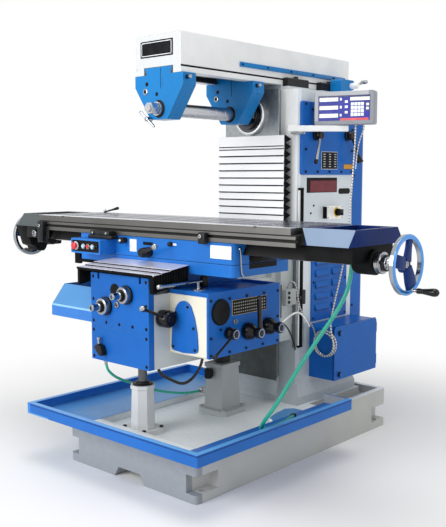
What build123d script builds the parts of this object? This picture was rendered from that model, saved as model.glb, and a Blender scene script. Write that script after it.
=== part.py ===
"""Universal milling machine: the solids of its separate pieces, in millimetres.

Origin at the centre of the base on the floor; +X to the operator's right, +Y to the back, +Z up.
"""
import os
from math import cos, pi, radians, sin, sqrt, tan

from build123d import *

# Centre lines and fits that the pieces share
SPINDLE_Z = 1607.0
TABLE_Y = -400.0
SCREW_Z = 1002.0
RUN_FIT = 0.1

# Base casting, its feet, front arch and rear sump
BASE_X, BASE_Y, BASE_TOP = 405.0, 725.0, 200.0
BASE_CORNER, BASE_HOLLOW_X, BASE_HOLLOW_Y, BASE_HOLLOW_TOP = 16.0, 320.0, 570.0, 150.0
FOOT_X, FOOT_Y, FOOT_TOP, FOOT_HEAD, FOOT_ROUND = 347.0, 595.0, 37.0, 115.0, 18.0
ANCHOR_X, ANCHOR_Y, ANCHOR_R = 376.0, 660.0, 14.0
ARCH_FOOT, ARCH_HEAD, ARCH_TOP = 95.0, 70.0, 44.0
SUMP_X, SUMP_FRONT, SUMP_BACK, SUMP_FLOOR = 375.0, 205.0, 697.0, 160.0
ISLAND_X, ISLAND_FRONT, ISLAND_BACK = 285.0, 130.0, 655.0

# Folded chip tray round the front of the base
TRAY_X, TRAY_FRONT, TRAY_BACK, TRAY_FLOOR, TRAY_RIM = 544.0, -864.0, 186.0, 225.0, 275.0
TRAY_SHEET, TRAY_LIP, TRAY_SEAT = 5.0, 16.0, 14.0

# Column with its front way, foot, top guide and windows
COLUMN_X, COLUMN_FRONT, COLUMN_BACK, COLUMN_TOP = 250.0, 150.0, 610.0, 1731.0
COLUMN_EDGE, COLUMN_WALL = 14.0, 38.0
PLINTH_X, PLINTH_FRONT, PLINTH_BACK, PLINTH_TOP, PLINTH_TAPER = 267.0, 133.0, 640.0, 240.0, 300.0
WAY_X, WAY_ROOT_X, WAY_FRONT, WAY_FOOT = 168.0, 140.0, 95.0, 240.0
GUIDE_NECK, GUIDE_HEAD, GUIDE_FOOT_Z, GUIDE_TOP_Z = 72.0, 85.0, 1754.0, 1784.0
PEDESTAL_X = 139.0

# Covers and boxes on the column
REAR_BACK, REAR_FOOT, REAR_TOP, REAR_ROUND, REAR_SHEET = 742.0, 262.0, 1660.0, 45.0, 10.0
PANEL_FRONT, PANEL_BACK, PANEL_FOOT, PANEL_TOP, PANEL_THICK = 155.0, 606.0, 1324.0, 1673.0, 12.0
PANEL_ROUND, PANEL_BEVEL, PANEL_MARGIN = 12.0, 3.0, 45.0
SWITCH_FRONT, SWITCH_BACK, SWITCH_FOOT, SWITCH_TOP, SWITCH_DEEP = 350.0, 486.0, 1104.0, 1170.0, 28.0
SWITCH_ROUND, SWITCH_KNOB, SWITCH_KNOB_R, SWITCH_STUB_R = 10.0, (430.0, 1138.0), 18.0, 6.0
VENT_FRONT, VENT_BACK, VENT_FOOT, VENT_TOP, VENT_THICK = 255.0, 560.0, 600.0, 990.0, 8.0
VENT_MARGIN, LOUVRE_ROWS, LOUVRE_PITCH, LOUVRE_LENGTH = 30.0, 6, 57.0, 108.0
LOUVRE_FIRST, LOUVRE_DEEP, LOUVRE_TALL, LOUVRE_COLUMNS = 655.0, 9.0, 24.0, (283.0, 428.0)
TOOL_OUT, TOOL_FRONT, TOOL_BACK, TOOL_FOOT, TOOL_TOP = 396.0, 249.0, 629.0, 325.0, 590.0
TOOL_ROUND, TOOL_SHEET, TOOL_DOOR = 18.0, 3.0, 6.0
TOOL_KNOB_Y, TOOL_KNOB_Z, TOOL_KNOB_R, TOOL_KNOB_LONG = 290.0, (351.0, 556.0), 11.0, 12.0

# Speed levers on the gear panel; the hub's outline is (distance off the panel, radius)
SPEED_FRONT, SPEED_BACK, SPEED_STUB_R = (266.0, 1514.0), (539.0, 1521.0), 10.0
SPEED_HUB, SPEED_LEVER_OUT, SPEED_R = ((0.0, 25.0), (12.0, 23.0), (38.0, 19.0)), 28.0, 7.0
SPEED_FRONT_TIP, SPEED_BACK_TIP = (305.0, 212.0, 1386.0), (318.0, 574.0, 1400.0)
SPEED_FRONT_END, SPEED_BACK_END = 10.0, 17.0

# Pleated way cover above the table
COVER_X, COVER_FRONT, COVER_BACK, COVER_FOOT, COVER_TOP = 207.0, 84.0, 92.0, 930.0, 1512.0
COVER_SLATS, COVER_LIP, COVER_SIDE_X, COVER_PLEAT_IN, COVER_PLEAT_OUT = 16, 4.0, 175.0, 102.0, 146.0

# Posts that carry the knee
POST_Y, POST_FLANGE_X, POST_FLANGE_Y, POST_FLANGE_TOP = -640.0, 80.0, 70.0, 222.0
POST_FLAT_FOOT, POST_FLAT_HEAD, POST_NECK, POST_TOP, SHAFT_R = 52.0, 47.0, 398.0, 414.0, 20.0
POST_CHAMFER, POST_SIDES = 22.0, 8
NUT_X, NUT_Y, NUT_FLANGE_X, NUT_FLANGE_Y, NUT_FLANGE_TOP = 46.0, -170.0, 88.0, 92.0, 226.0
NUT_FOOT_X, NUT_FOOT_Y, NUT_HEAD_X, NUT_HEAD_Y, NUT_NECK, NUT_TOP = 56.0, 64.0, 51.0, 59.0, 420.0, 440.0
SCREW_R, POST_END = 28.0, 42.0
ELBOW_X, ELBOW_Y, ELBOW_Z, ELBOW_ROUND = (-50.0, 0.0), (-232.0, -205.0), (284.0, 312.0), 4.0

# Knee with its front plate, pleated cover and side trough
KNEE_X, KNEE_FRONT, KNEE_FOOT, KNEE_DECK, KNEE_WAY_X, KNEE_WAY_TOP = 183.0, -740.0, 523.0, 835.0, 150.0, 870.0
KNEE_REAR_FRONT, KNEE_HOLLOW_X, KNEE_HOLLOW_FRONT, KNEE_HOLLOW_BACK = 30.0, 150.0, -705.0, 20.0
KNEE_CEILING, HOOK_X, HOOK_FRONT, HOOK_BACK, HOOK_GAP = 815.0, 215.0, 60.0, 146.0, 1.5
PLATE_FRONT, PLATE_TOP, PLATE_SPLIT, PLATE_GROOVE = -770.0, 905.0, 671.0, 2.0
PLATE_BOLT_R, PLATE_BOLT_DEEP, PLATE_BOLT_X = 8.0, 9.0, 168.0
PLATE_BOLT_Z = (888.0, 789.0, 694.0, 654.0, 537.0)
PLATE_ROW_X = (-84.0, 0.0, 84.0)
PLATE_SLOT_X, PLATE_SLOT_W, PLATE_SLOT_DEEP = 132.0, 14.0, 26.0
PLATE_EYE, PLATE_EYE_R, PLATE_EYE_DEEP = (-25.0, 841.0), 23.0, 16.0
ROOF_X, ROOF_FRONT, ROOF_BACK, ROOF_FRONT_Z, ROOF_BACK_Z = 242.0, -800.0, -594.0, 921.0, 951.0
ROOF_SLATS, ROOF_LIP, ROOF_THICK, ROOF_PLEATS, ROOF_PLEAT_X = 7, 4.0, 8.0, 14, 230.0
SKIRT_IN_X, SKIRT_FRONT_Z, SKIRT_BACK_Z = 222.0, 848.0, 882.0
TROUGH_X, TROUGH_FRONT, TROUGH_BACK, TROUGH_FOOT, TROUGH_TOP = -565.0, -700.0, -330.0, 664.0, 806.0
TROUGH_LIP_Z, TROUGH_EDGE_Y, TROUGH_SHEET = 714.0, -625.0, 4.0

# Feed box on the knee's right side; knob outlines are (distance off the cover, radius)
FEED_X, FEED_FRONT, FEED_BACK, FEED_FOOT, FEED_TOP = 395.0, -652.0, -192.0, 583.0, 835.0
FEED_WALL, FEED_ROUND, FEED_PLATE, FEED_LID_TOP, FEED_LID_X = 12.0, 10.0, 10.0, 853.0, 186.0
LID_WELL_FRONT, LID_WELL_FLOOR, LID_RIM = -480.0, 840.0, 14.0
FEED_FRONT_HUB, FEED_MIDDLE_HUB, FEED_BACK_HUB = (-535.0, 677.0), (-418.0, 670.0), (-284.0, 674.0)
FEED_STUB_R, FEED_STUB_IN = 12.0, 20.0
KNOB_SMALL = ((0.3, 24.0), (6.0, 26.0), (25.0, 24.0), (30.0, 15.0), (35.0, 23.0), (47.0, 23.0), (50.0, 18.0))
KNOB_LARGE = ((0.3, 34.0), (15.0, 37.0), (37.0, 32.0), (52.0, 18.0), (66.0, 24.0), (84.0, 24.0), (87.0, 19.0))
FEED_FRONT_TIP, FEED_FRONT_R, FEED_FRONT_BALL = (443.0, -655.0, 601.0), 6.0, 8.0
FEED_MIDDLE_TIP, FEED_MIDDLE_R = (481.0, -424.0, 822.0), 7.0

# Levers and dialled shafts at the knee's front; the dial's outline is (distance off the plate, radius)
SIDE_HUB, SIDE_HUB_R, SIDE_HUB_END, SIDE_STUB_R, SIDE_STUB_END = (-700.0, 735.0), 36.0, 243.0, 12.0, 155.0
SIDE_TIP, SIDE_LEVER_R, SIDE_BALL_R = (222.0, -838.0, 795.0), 7.0, 14.0
DIAL_CROSS, DIAL_LIFT, DIAL_STUB_R, DIAL_STUB_END = (50.0, 826.0), (-83.0, 766.0), 14.0, -712.0
DIAL = ((0.3, 34.0), (4.0, 40.0), (12.0, 40.0), (12.0, 36.0), (28.0, 36.0), (33.0, 30.0), (33.0, 22.0),
        (46.0, 22.0), (46.0, 15.0), (80.0, 15.0), (84.0, 11.0))
DIAL_SLOT_W, DIAL_SLOT_DEEP = 8.0, 14.0
CLAMP_PIVOT, CLAMP_PIVOT_R, CLAMP_TOP, CLAMP_Z = (262.0, -525.0), 18.0, 905.0, 880.0
CLAMP_TIP_Y, CLAMP_R, CLAMP_BALL_R = -785.0, 8.0, 11.0
PUMP_X, PUMP_Z, PUMP_BLOCK_X, PUMP_BLOCK_Z, PUMP_BLOCK_Y = -112.0, 572.0, 27.0, 22.0, -800.0
PUMP_PIN_TOP, PUMP_PIN_R, PUMP_BALL_R, PUMP_PIVOT_R = 624.0, 6.0, 8.0, 7.0

# Saddle, swivel housing and the controls on it; the stop button's outline is (distance off the box, radius)
SADDLE_X, SADDLE_FRONT, SADDLE_BACK, SADDLE_FOOT, SADDLE_TOP = 484.0, -592.0, -219.0, 915.0, 965.0
SADDLE_ROUND, SADDLE_GIB_FOOT, PIVOT_R, PIVOT_TALL = 22.0, 838.0, 60.0, 14.0
HOUSE_FOOT, HOUSE_TOP, HOUSE_DISC_R = 967.0, 1053.0, 178.0
SLIDE_NECK, SLIDE_FOOT, SLIDE_FOOT_Z, SLIDE_NECK_Z, SLIDE_GAP = 105.0, 135.0, 1004.0, 1055.0, 0.3
SCREW_LANE, SCREW_LANE_Z = 30.0, 980.0
POCKET_IN, POCKET_FRONT, POCKET_BACK = 446.0, -496.0, -313.0
BOX_LEFT, BOX_RIGHT, BOX_FRONT, BOX_FOOT, BOX_TOP, BOX_ROUND = -428.0, -222.0, -685.0, 969.0, 1036.0, 6.0
BOX_INSET, BOX_MARGIN = 2.0, 8.0
BUTTON_Z, BUTTON_HOLE, BUTTON_BACK = 1002.0, -655.0, -668.0
STOP_X, STOP_STEM_R, STOP = -394.0, 9.0, ((12.0, 21.0), (19.0, 21.0), (26.0, 15.0))
BUTTON_X, BUTTON_R, BUTTON_FRONT, BUTTON_EDGE = (-337.0, -305.0, -273.0), 11.0, -694.0, 1.0
TRIP_HUB, TRIP_HUB_R, TRIP_FRONT, TRIP_EDGE = (0.0, 990.0), 22.0, -648.0, 4.0
TRIP_STUB_R, TRIP_STUB_END = 10.0, -560.0
TRIP_TIP, TRIP_R, TRIP_BALL_R, TRIP_LEVER_Y = (117.0, -672.0, 1024.0), 8.0, 13.0, -636.0

# Table, its end brackets, screw and handwheels; wheel outlines are (distance off the rim's plane, radius)
TABLE_X, TABLE_TOP_X, TABLE_FRONT, TABLE_BACK = 795.0, 772.0, -600.0, -200.0
TABLE_FOOT, TABLE_STEP, TABLE_TOP = 1055.0, 1100.0, 1127.0
SLOT_Y, SLOT_W, SLOT_NECK, SLOT_HEAD_W, SLOT_DEEP = (-490.0, -400.0, -310.0), 18.0, 20.0, 32.0, 34.0
DOG_LOW, DOG_HIGH, DOG_DEEP, STEP_TALL, STEP_DEEP = 1073.0, 1083.0, 14.0, 3.0, 3.0
GUTTER_X, GUTTER_W, GUTTER_DEEP = 600.0, 14.0, 5.0
LANE_HALF, LANE_TOP = 32.0, 1046.0
END_TOP_HALF, END_FOOT_HALF, END_FOOT_Z, END_RIGHT, END_LEFT = 145.0, 190.0, 1066.0, 1020.0, -1000.0
END_WALL, END_WELL_Z, WEDGE_TOP, WEDGE_FOOT, WEDGE_GAP = 14.0, 1084.0, 797.0, 831.0, 0.2
BEAM_HALF, BEAM_RIGHT, BEAM_LEFT = 140.0, 1003.0, -985.0
HUB_RIGHT = ((935.0, 44.0), (945.0, 48.0), (1018.0, 48.0), (1024.0, 42.0))
HUB_LEFT = ((-950.0, 40.0), (-958.0, 45.0), (-1084.0, 45.0), (-1090.0, 40.0))
LEAD_R, LEAD_LEFT, LEAD_RIGHT = 18.0, -1078.0, 1012.0
WHEEL_R, WHEEL_TUBE, WHEEL_RIGHT, WHEEL_LEFT = 100.0, 11.0, 1142.0, -1148.0
WHEEL_DIAL = ((-117.5, 36.0), (-114.0, 41.0), (-92.0, 41.0), (-88.0, 34.0), (-88.0, 20.0), (-62.0, 14.0),
              (-22.0, 14.0), (-22.0, 26.0), (14.0, 26.0), (18.0, 20.0))
WHEEL_DIAL_SHORT = ((-57.5, 30.0), (-54.0, 36.0), (-42.0, 36.0), (-40.0, 26.0), (-22.0, 20.0),
                    (-22.0, 26.0), (14.0, 26.0), (18.0, 20.0))
SPOKE_HALF, SPOKE_FOOT, SPOKE_HEAD, SPOKE_TURNS = 6.0, 19.0, 11.0, (-72.0, 48.0, 168.0)
GRIP = ((0.0, 6.0), (24.0, 6.0), (24.0, 9.0), (40.0, 12.0), (96.0, 15.0), (110.0, 12.0), (113.0, 6.0))

# Spindle and arbor; the nose's outline is (place on Y, radius)
NOSE = ((600.0, 55.0), (94.9, 55.0), (94.9, 92.0), (76.0, 92.0), (72.0, 88.0), (72.0, 64.285), (52.0, 64.285))
NOSE_FRONT, NOSE_BORE_R, NOSE_BORE_END = NOSE[-1][0], 30.1, 200.0
DRIVE_KEY_X, DRIVE_KEY_W, DRIVE_KEY_TALL, DRIVE_KEY_OUT = 46.0, 16.0, 24.0, 42.0
ARBOR_R, ARBOR_BACK, ARBOR_FRONT, ARBOR_TIP, ARBOR_THREAD_R = 30.0, 150.0, -545.0, -598.0, 17.0
COLLAR_LENGTH, COLLAR_COUNT, COLLAR_GROOVE = 60.0, 9, 1.2
ARBOR_NUT, ARBOR_NUT_FLAT = (-588.0, -548.0), 23.0

# Overarm, arbor supports, clamps and pinion drive
ARM_X, ARM_FRONT, ARM_BACK, ARM_TOP, ARM_ROUND = 140.0, -530.0, 729.0, 1923.0, 6.0
ARM_HOLLOW_X, ARM_HOLLOW_FRONT, ARM_HOLLOW_FOOT, ARM_HOLLOW_TOP = 112.0, -500.0, 1812.0, 1898.0
ARM_LINE_FOOT, ARM_LINE_TOP, ARM_LINE_DEEP = 1777.0, 1785.0, 5.0
HANGER_X, HANGER_TOP, HANGER_SIDE_Z, HANGER_FOOT_X, HANGER_FOOT = 148.0, 1753.5, 1703.0, 52.0, 1562.0
HANGER_THICK, HANGER_FRONT_Y, HANGER_REAR_Y, HANGER_SPLIT_X, HANGER_SPLIT_W = 79.0, -530.0, -70.0, 26.0, 2.0
HANGER_SEAT_R, HANGER_SEAT_DEEP = 38.0, 4.0
CLAMP_BLOCK_Y, CLAMP_BLOCK_LONG, CLAMP_BLOCK_X, CLAMP_BLOCK_TOP = (160.0, 437.0), 168.0, (140.4, 172.0), 1788.0
CLAMP_BOLT_R, CLAMP_BOLT_TALL = 11.0, 10.0
PINION_X, PINION_FRONT, PINION_BACK, PINION_FOOT, PINION_TOP = (174.0, 240.0), 512.0, 630.0, COLUMN_TOP, 1806.0
PINION_LIFT, PINION_AXIS, PINION_STUB_R = 1757.0, (600.0, 1776.0), 9.0
CRANK_HUB_R, CRANK_HUB_END, CRANK_TIP, CRANK_R, CRANK_GRIP_R = 15.0, 286.0, (274.0, 660.0, 1798.0), 8.0, 10.0
CRANK_GRIP_START, CRANK_GRIP_END, CRANK_GRIP_EDGE = 263.0, 300.0, 2.0

# Readout on its swinging arm
POLE_X, POLE_Y, POLE_R, POLE_TOP = 268.0, 140.0, 13.0, 1555.0
BRACKET_FOOT, BRACKET_TOP, BRACKET_LEFT, BRACKET_BACK = 1516.0, 1526.0, 215.0, 154.0
DRO_TURN, DRO_TAIL, DRO_REACH, DRO_ARM_THICK, DRO_ARM_FOOT = 41.93, 64.0, 222.0, 20.0, 1527.0
DRO_OUT, DRO_WIDE, DRO_DEEP, DRO_FOOT, DRO_TOP, DRO_ROUND = 207.0, 290.0, 52.0, 1557.0, 1713.0, 10.0
DRO_FACE_TURN, DRO_FACE_IN, DRO_FACE_MARGIN, DRO_PIN_R = 17.0, 4.0, 20.0, 10.0

# Hoses and cables: outer radius, hand-picked route points, and how far a bend reaches into a run
BEND_SHARE = 0.45
HOSE_R = 8.5
HOSE_ROUTE = ((868.0, -330.0, 1003.0), (866.0, -334.0, 905.0), (822.0, -350.0, 800.0), (738.0, -371.0, 672.0),
              (650.0, -398.0, 525.0), (570.0, -420.0, 380.0), (505.0, -425.0, 290.0), (478.0, -360.0, 246.0),
              (470.0, -265.0, 240.0), (452.0, -180.0, 239.5), (428.0, -114.0, 239.5))
TUBE_R = 6.0
TUBE_ROUTE = ((-112.0, -752.0, 523.0), (-112.0, -752.0, 488.0), (-108.0, -722.0, 452.0),
              (-107.0, -678.0, 424.0), (-103.0, -615.0, 396.0), (-99.0, -545.0, 364.0),
              (-87.0, -475.0, 336.0), (-70.0, -405.0, 315.0), (-50.0, -338.0, 302.0),
              (-36.0, -280.0, 298.0), (-36.0, -232.0, 298.0))
CABLE_R = 4.0
CABLE_ROUTE = ((462.0, 306.0, 1557.0), (462.0, 306.0, 1485.0), (450.0, 313.0, 1390.0), (446.0, 310.0, 1285.0),
               (439.0, 309.0, 1178.0), (436.0, 301.0, 1070.0), (426.0, 294.0, 965.0), (415.0, 280.0, 865.0),
               (402.0, 263.0, 770.0), (395.0, 240.0, 685.0))
CABLE_LAST_RUN = 75.0

# Spare readout cable, wound in a coil in front of the tool box; angles in degrees
COIL_X, COIL_Z, COIL_R, COIL_FRONT, COIL_PITCH = 353.0, 505.0, 62.0, 219.0, 9.2
COIL_START, COIL_END, COIL_STEPS, COIL_LEAD = 15.0, -900.0, 21, 2 * CABLE_R
GAP_SAMPLES, GAP_APART = 400, 60


def block(x, y, z):
    """A box between two limits on each axis."""
    spans = (x, y, z)
    middle = [(low + high) / 2 for low, high in spans]
    return Pos(*middle) * Box(*[high - low for low, high in spans])


def soft(solid, axis, radius):
    """The solid with its edges along one axis rounded."""
    return fillet(solid.edges().filter_by(axis), radius)


def facing(axis, span, place=(0, 0)):
    """The plane that a profile sits on to be drawn out along an axis over a span."""
    a, b = place
    if axis == "x":
        return Plane((span[0], a, b), x_dir=(0, 1, 0), z_dir=(1, 0, 0))
    if axis == "y":
        return Plane((a, span[1], b), x_dir=(1, 0, 0), z_dir=(0, -1, 0))
    return Plane((a, b, span[0]), x_dir=(1, 0, 0), z_dir=(0, 0, 1))


def prism(axis, span, outline):
    """An outline in the two other axes, drawn out along an axis."""
    plane = facing(axis, span)
    return extrude(plane * Polygon(*outline, align=None), span[1] - span[0], dir=plane.z_dir)


def rod(axis, span, place, radius):
    """A cylinder along an axis, through a place on the two other axes."""
    plane = facing(axis, span, place)
    return extrude(plane * Circle(radius), span[1] - span[0], dir=plane.z_dir)


def turned(axis, place, outline):
    """A revolved piece along X or Y from (place on the axis, radius) pairs, closed on the axis."""
    points = ((outline[0][0], 0.0), *outline, (outline[-1][0], 0.0))
    a, b = place
    if axis == "x":
        return Pos(0, a, b) * revolve(Polygon(*points, align=None), Axis.X)
    flipped = [(radius, along) for along, radius in points]
    return Pos(a, 0, b) * revolve(Polygon(*flipped, align=None), Axis.Y)


def off_face(face, way, outline):
    """An outline of (distance off a face, radius) pairs, placed on the face's axis."""
    return tuple((face + way * out, radius) for out, radius in outline)


def bar(start, end, radius):
    """A round bar between two points."""
    way = Vector(*end) - Vector(*start)
    return extrude(Plane(start, z_dir=way) * Circle(radius), way.length, dir=way)


def ball(centre, radius):
    return Pos(*centre) * Sphere(radius)


def both_sides(make):
    """The same form to the left and to the right of the machine's centre."""
    return make(-1) + make(1)


def spread(side, low, high):
    """A span on X, measured out from the centre to one side."""
    return tuple(sorted((side * low, side * high)))


def around(middle, half):
    """A span of equal reach to both sides of a middle."""
    return (middle - half, middle + half)


def tube(route, radius):
    """A hose of straight runs and tangent arcs through its route points."""
    points = [Vector(*point) for point in route]
    radii = []
    for before, here, after in zip(points, points[1:], points[2:]):
        half_turn = radians((here - before).get_angle(after - here)) / 2
        shorter = min((here - before).length, (after - here).length)
        radii.append(BEND_SHARE * shorter / tan(half_turn))
    path = FilletPolyline(*points, radius=radii)
    print("bend radii", [round(bend) for bend in radii], "tube radius", radius, "length", round(path.length))
    return sweep(Plane(points[0], z_dir=points[1] - points[0]) * Circle(radius), path=path)


def make_base():
    body = soft(block((-BASE_X, BASE_X), (-BASE_Y, BASE_Y), (0, BASE_TOP)), Axis.Z, BASE_CORNER)
    body -= block((-BASE_HOLLOW_X, BASE_HOLLOW_X), (-BASE_HOLLOW_Y, BASE_HOLLOW_Y), (0, BASE_HOLLOW_TOP))
    reach = BASE_X + BASE_CORNER
    depth = BASE_Y + BASE_CORNER
    for side in (-1, 1):
        for end in (-1, 1):
            notch = block(spread(side, FOOT_X, reach), spread(end, FOOT_Y, depth), (FOOT_TOP, FOOT_HEAD))
            body -= soft(notch, Axis.Z, FOOT_ROUND)
            body -= rod("z", (0, FOOT_TOP), (side * ANCHOR_X, end * ANCHOR_Y), ANCHOR_R)
    arch = ((-ARCH_FOOT, 0), (ARCH_FOOT, 0), (ARCH_HEAD, ARCH_TOP), (-ARCH_HEAD, ARCH_TOP))
    body -= prism("y", (-BASE_Y, -BASE_HOLLOW_Y), arch)
    body -= prism("y", (BASE_HOLLOW_Y, BASE_Y), arch)
    sump = block((-SUMP_X, SUMP_X), (SUMP_FRONT, SUMP_BACK), (SUMP_FLOOR, BASE_TOP))
    sump -= block((-ISLAND_X, ISLAND_X), (ISLAND_FRONT, ISLAND_BACK), (SUMP_FLOOR, BASE_TOP))
    body -= sump
    seat = block((-BASE_X, BASE_X), (-BASE_Y, TRAY_BACK), (BASE_TOP, TRAY_FLOOR))
    seat = fillet(seat.edges().filter_by(Axis.Z).group_by(Axis.Y)[0], BASE_CORNER)
    inner = BASE_X - TRAY_SEAT
    seat -= block((-inner, inner), (TRAY_SEAT - BASE_Y, TRAY_BACK), (BASE_TOP, TRAY_FLOOR))
    body += seat
    # the front post stands over the solid front wall, so its shaft's bore goes on down into it
    body -= rod("z", (POST_END - SHAFT_R, BASE_TOP), (0, POST_Y), SHAFT_R + RUN_FIT)
    return body - rod("z", (BASE_HOLLOW_TOP, BASE_TOP), (NUT_X, NUT_Y), SCREW_R + RUN_FIT)


def make_chip_tray():
    wide = (-TRAY_X, TRAY_X)
    inside_x = TRAY_X - TRAY_SHEET
    lip_x = TRAY_X - TRAY_LIP
    inner = BASE_X - TRAY_SEAT
    tray = block(wide, (TRAY_FRONT, TRAY_BACK), (TRAY_FLOOR, TRAY_RIM))
    inside_z = (TRAY_FLOOR + TRAY_SHEET, TRAY_RIM)
    tray -= block((-inside_x, inside_x), (TRAY_FRONT + TRAY_SHEET, TRAY_BACK), inside_z)
    lip_z = (TRAY_RIM - TRAY_SHEET, TRAY_RIM)
    lip = block(wide, (TRAY_FRONT, TRAY_BACK), lip_z)
    tray += lip - block((-lip_x, lip_x), (TRAY_FRONT + TRAY_LIP, TRAY_BACK), lip_z)
    tray -= block((-inner, inner), (TRAY_SEAT - BASE_Y, TRAY_BACK), (TRAY_FLOOR, TRAY_RIM))
    for side in (-1, 1):
        tray += block(spread(side, inner, TRAY_X), (TRAY_BACK - TRAY_SHEET, TRAY_BACK), (TRAY_FLOOR, TRAY_RIM))
    return tray


def guide_outline(foot):
    """The overarm guide's dovetail, with a straight neck down to a foot."""
    neck, head, top = GUIDE_NECK - RUN_FIT, GUIDE_HEAD - RUN_FIT, GUIDE_TOP_Z - RUN_FIT
    right = ((neck, foot), (neck, GUIDE_FOOT_Z), (head, top))
    return right + tuple((-x, z) for x, z in reversed(right))


def make_column():
    depth = (COLUMN_FRONT, COLUMN_BACK)
    body = block((-COLUMN_X, COLUMN_X), depth, (PLINTH_TOP, COLUMN_TOP))
    body = chamfer(body.edges().filter_by(Axis.Z).group_by(Axis.Y)[0], COLUMN_EDGE)
    body += block((-PLINTH_X, PLINTH_X), (PLINTH_FRONT, PLINTH_BACK), (BASE_TOP, PLINTH_TOP))
    plinth_y = (PLINTH_FRONT + PLINTH_BACK) / 2
    low = Pos(0, plinth_y, PLINTH_TOP) * Rectangle(2 * PLINTH_X, PLINTH_BACK - PLINTH_FRONT)
    high = Pos(0, sum(depth) / 2, PLINTH_TAPER) * Rectangle(2 * COLUMN_X, COLUMN_BACK - COLUMN_FRONT)
    body += loft([low, high])
    way = ((-WAY_X, WAY_FRONT), (WAY_X, WAY_FRONT), (WAY_ROOT_X, COLUMN_FRONT), (-WAY_ROOT_X, COLUMN_FRONT))
    body += prism("z", (WAY_FOOT, COLUMN_TOP), way)
    body += block((-PEDESTAL_X, PEDESTAL_X), depth, (COLUMN_TOP, GUIDE_FOOT_Z))
    body += prism("y", depth, guide_outline(COLUMN_TOP))
    inside_x = COLUMN_X - COLUMN_WALL
    inside_y = (COLUMN_FRONT + COLUMN_WALL, COLUMN_BACK - COLUMN_WALL)
    body -= block((-inside_x, inside_x), inside_y, (PLINTH_TAPER, COLUMN_TOP - COLUMN_WALL))
    panel_y = (PANEL_FRONT + PANEL_MARGIN, PANEL_BACK - PANEL_MARGIN)
    body -= block((inside_x, COLUMN_X), panel_y, (PANEL_FOOT + PANEL_MARGIN, PANEL_TOP - PANEL_MARGIN))
    vent_y = (VENT_FRONT + VENT_MARGIN, VENT_BACK - VENT_MARGIN)
    body -= block((inside_x, COLUMN_X), vent_y, (VENT_FOOT + VENT_MARGIN, VENT_TOP - VENT_MARGIN))
    body -= rod("y", (WAY_FRONT, COLUMN_BACK), (0, SPINDLE_Z), NOSE[0][1] + RUN_FIT)
    bracket_y = (POLE_Y - POLE_R, BRACKET_BACK)
    return body + block((BRACKET_LEFT, POLE_X + POLE_R), bracket_y, (BRACKET_FOOT, BRACKET_TOP))


def make_rear_cover():
    cover = block((-COLUMN_X, COLUMN_X), (COLUMN_BACK, REAR_BACK), (REAR_FOOT, REAR_TOP))
    cover = fillet(cover.edges().filter_by(Axis.Z).group_by(Axis.Y)[-1], REAR_ROUND)
    inside_x = COLUMN_X - REAR_SHEET
    inside_z = (REAR_FOOT + REAR_SHEET, REAR_TOP - REAR_SHEET)
    hollow = block((-inside_x, inside_x), (COLUMN_BACK, REAR_BACK - REAR_SHEET), inside_z)
    hollow = fillet(hollow.edges().filter_by(Axis.Z).group_by(Axis.Y)[-1], REAR_ROUND - REAR_SHEET)
    return cover - hollow - block((-PLINTH_X, PLINTH_X), (COLUMN_BACK, PLINTH_BACK), (REAR_FOOT, PLINTH_TAPER))


def make_gear_panel():
    panel = block((COLUMN_X, COLUMN_X + PANEL_THICK), (PANEL_FRONT, PANEL_BACK), (PANEL_FOOT, PANEL_TOP))
    panel = soft(panel, Axis.X, PANEL_ROUND)
    panel = chamfer(panel.faces().sort_by(Axis.X)[-1].edges(), PANEL_BEVEL)
    for place in (SPEED_FRONT, SPEED_BACK):
        panel -= rod("x", (COLUMN_X, COLUMN_X + PANEL_THICK), place, SPEED_STUB_R + RUN_FIT)
    return panel


def speed_lever(place, tip, end_radius):
    """A hub on the gear panel, its lever and its grip end."""
    face = COLUMN_X + PANEL_THICK + RUN_FIT
    stub = ((COLUMN_X - SPEED_STUB_R, SPEED_STUB_R), (face, SPEED_STUB_R))
    hub = turned("x", place, stub + off_face(face, 1, SPEED_HUB))
    return hub + bar((face + SPEED_LEVER_OUT, *place), tip, SPEED_R) + ball(tip, end_radius)


def make_switch_box():
    outer = COLUMN_X + SWITCH_DEEP
    box = block((COLUMN_X, outer), (SWITCH_FRONT, SWITCH_BACK), (SWITCH_FOOT, SWITCH_TOP))
    box = soft(box, Axis.X, SWITCH_ROUND)
    return box - rod("x", (outer - SWITCH_DEEP / 2, outer), SWITCH_KNOB, SWITCH_STUB_R + RUN_FIT)


def make_main_switch():
    face = COLUMN_X + SWITCH_DEEP + RUN_FIT
    rise = face + SWITCH_STUB_R
    y, z = SWITCH_KNOB
    knob = turned("x", SWITCH_KNOB, ((face - SWITCH_DEEP / 3, SWITCH_STUB_R), (face, SWITCH_STUB_R),
                                     (face, SWITCH_KNOB_R), (rise, SWITCH_KNOB_R)))
    grip = block((rise, rise + SWITCH_STUB_R * 2), around(y, SWITCH_STUB_R), around(z, SWITCH_KNOB_R))
    return knob + soft(grip, Axis.X, SWITCH_STUB_R / 2)


def make_vent_cover():
    face = COLUMN_X + VENT_THICK
    cover = block((COLUMN_X, face), (VENT_FRONT, VENT_BACK), (VENT_FOOT, VENT_TOP))
    for row in range(LOUVRE_ROWS):
        foot = LOUVRE_FIRST + row * LOUVRE_PITCH
        hood = ((face, foot), (face + LOUVRE_DEEP, foot), (face + LOUVRE_DEEP, foot + LOUVRE_DEEP / 2),
                (face, foot + LOUVRE_TALL))
        for start in LOUVRE_COLUMNS:
            cover += prism("y", (start, start + LOUVRE_LENGTH), hood)
    return cover


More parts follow.
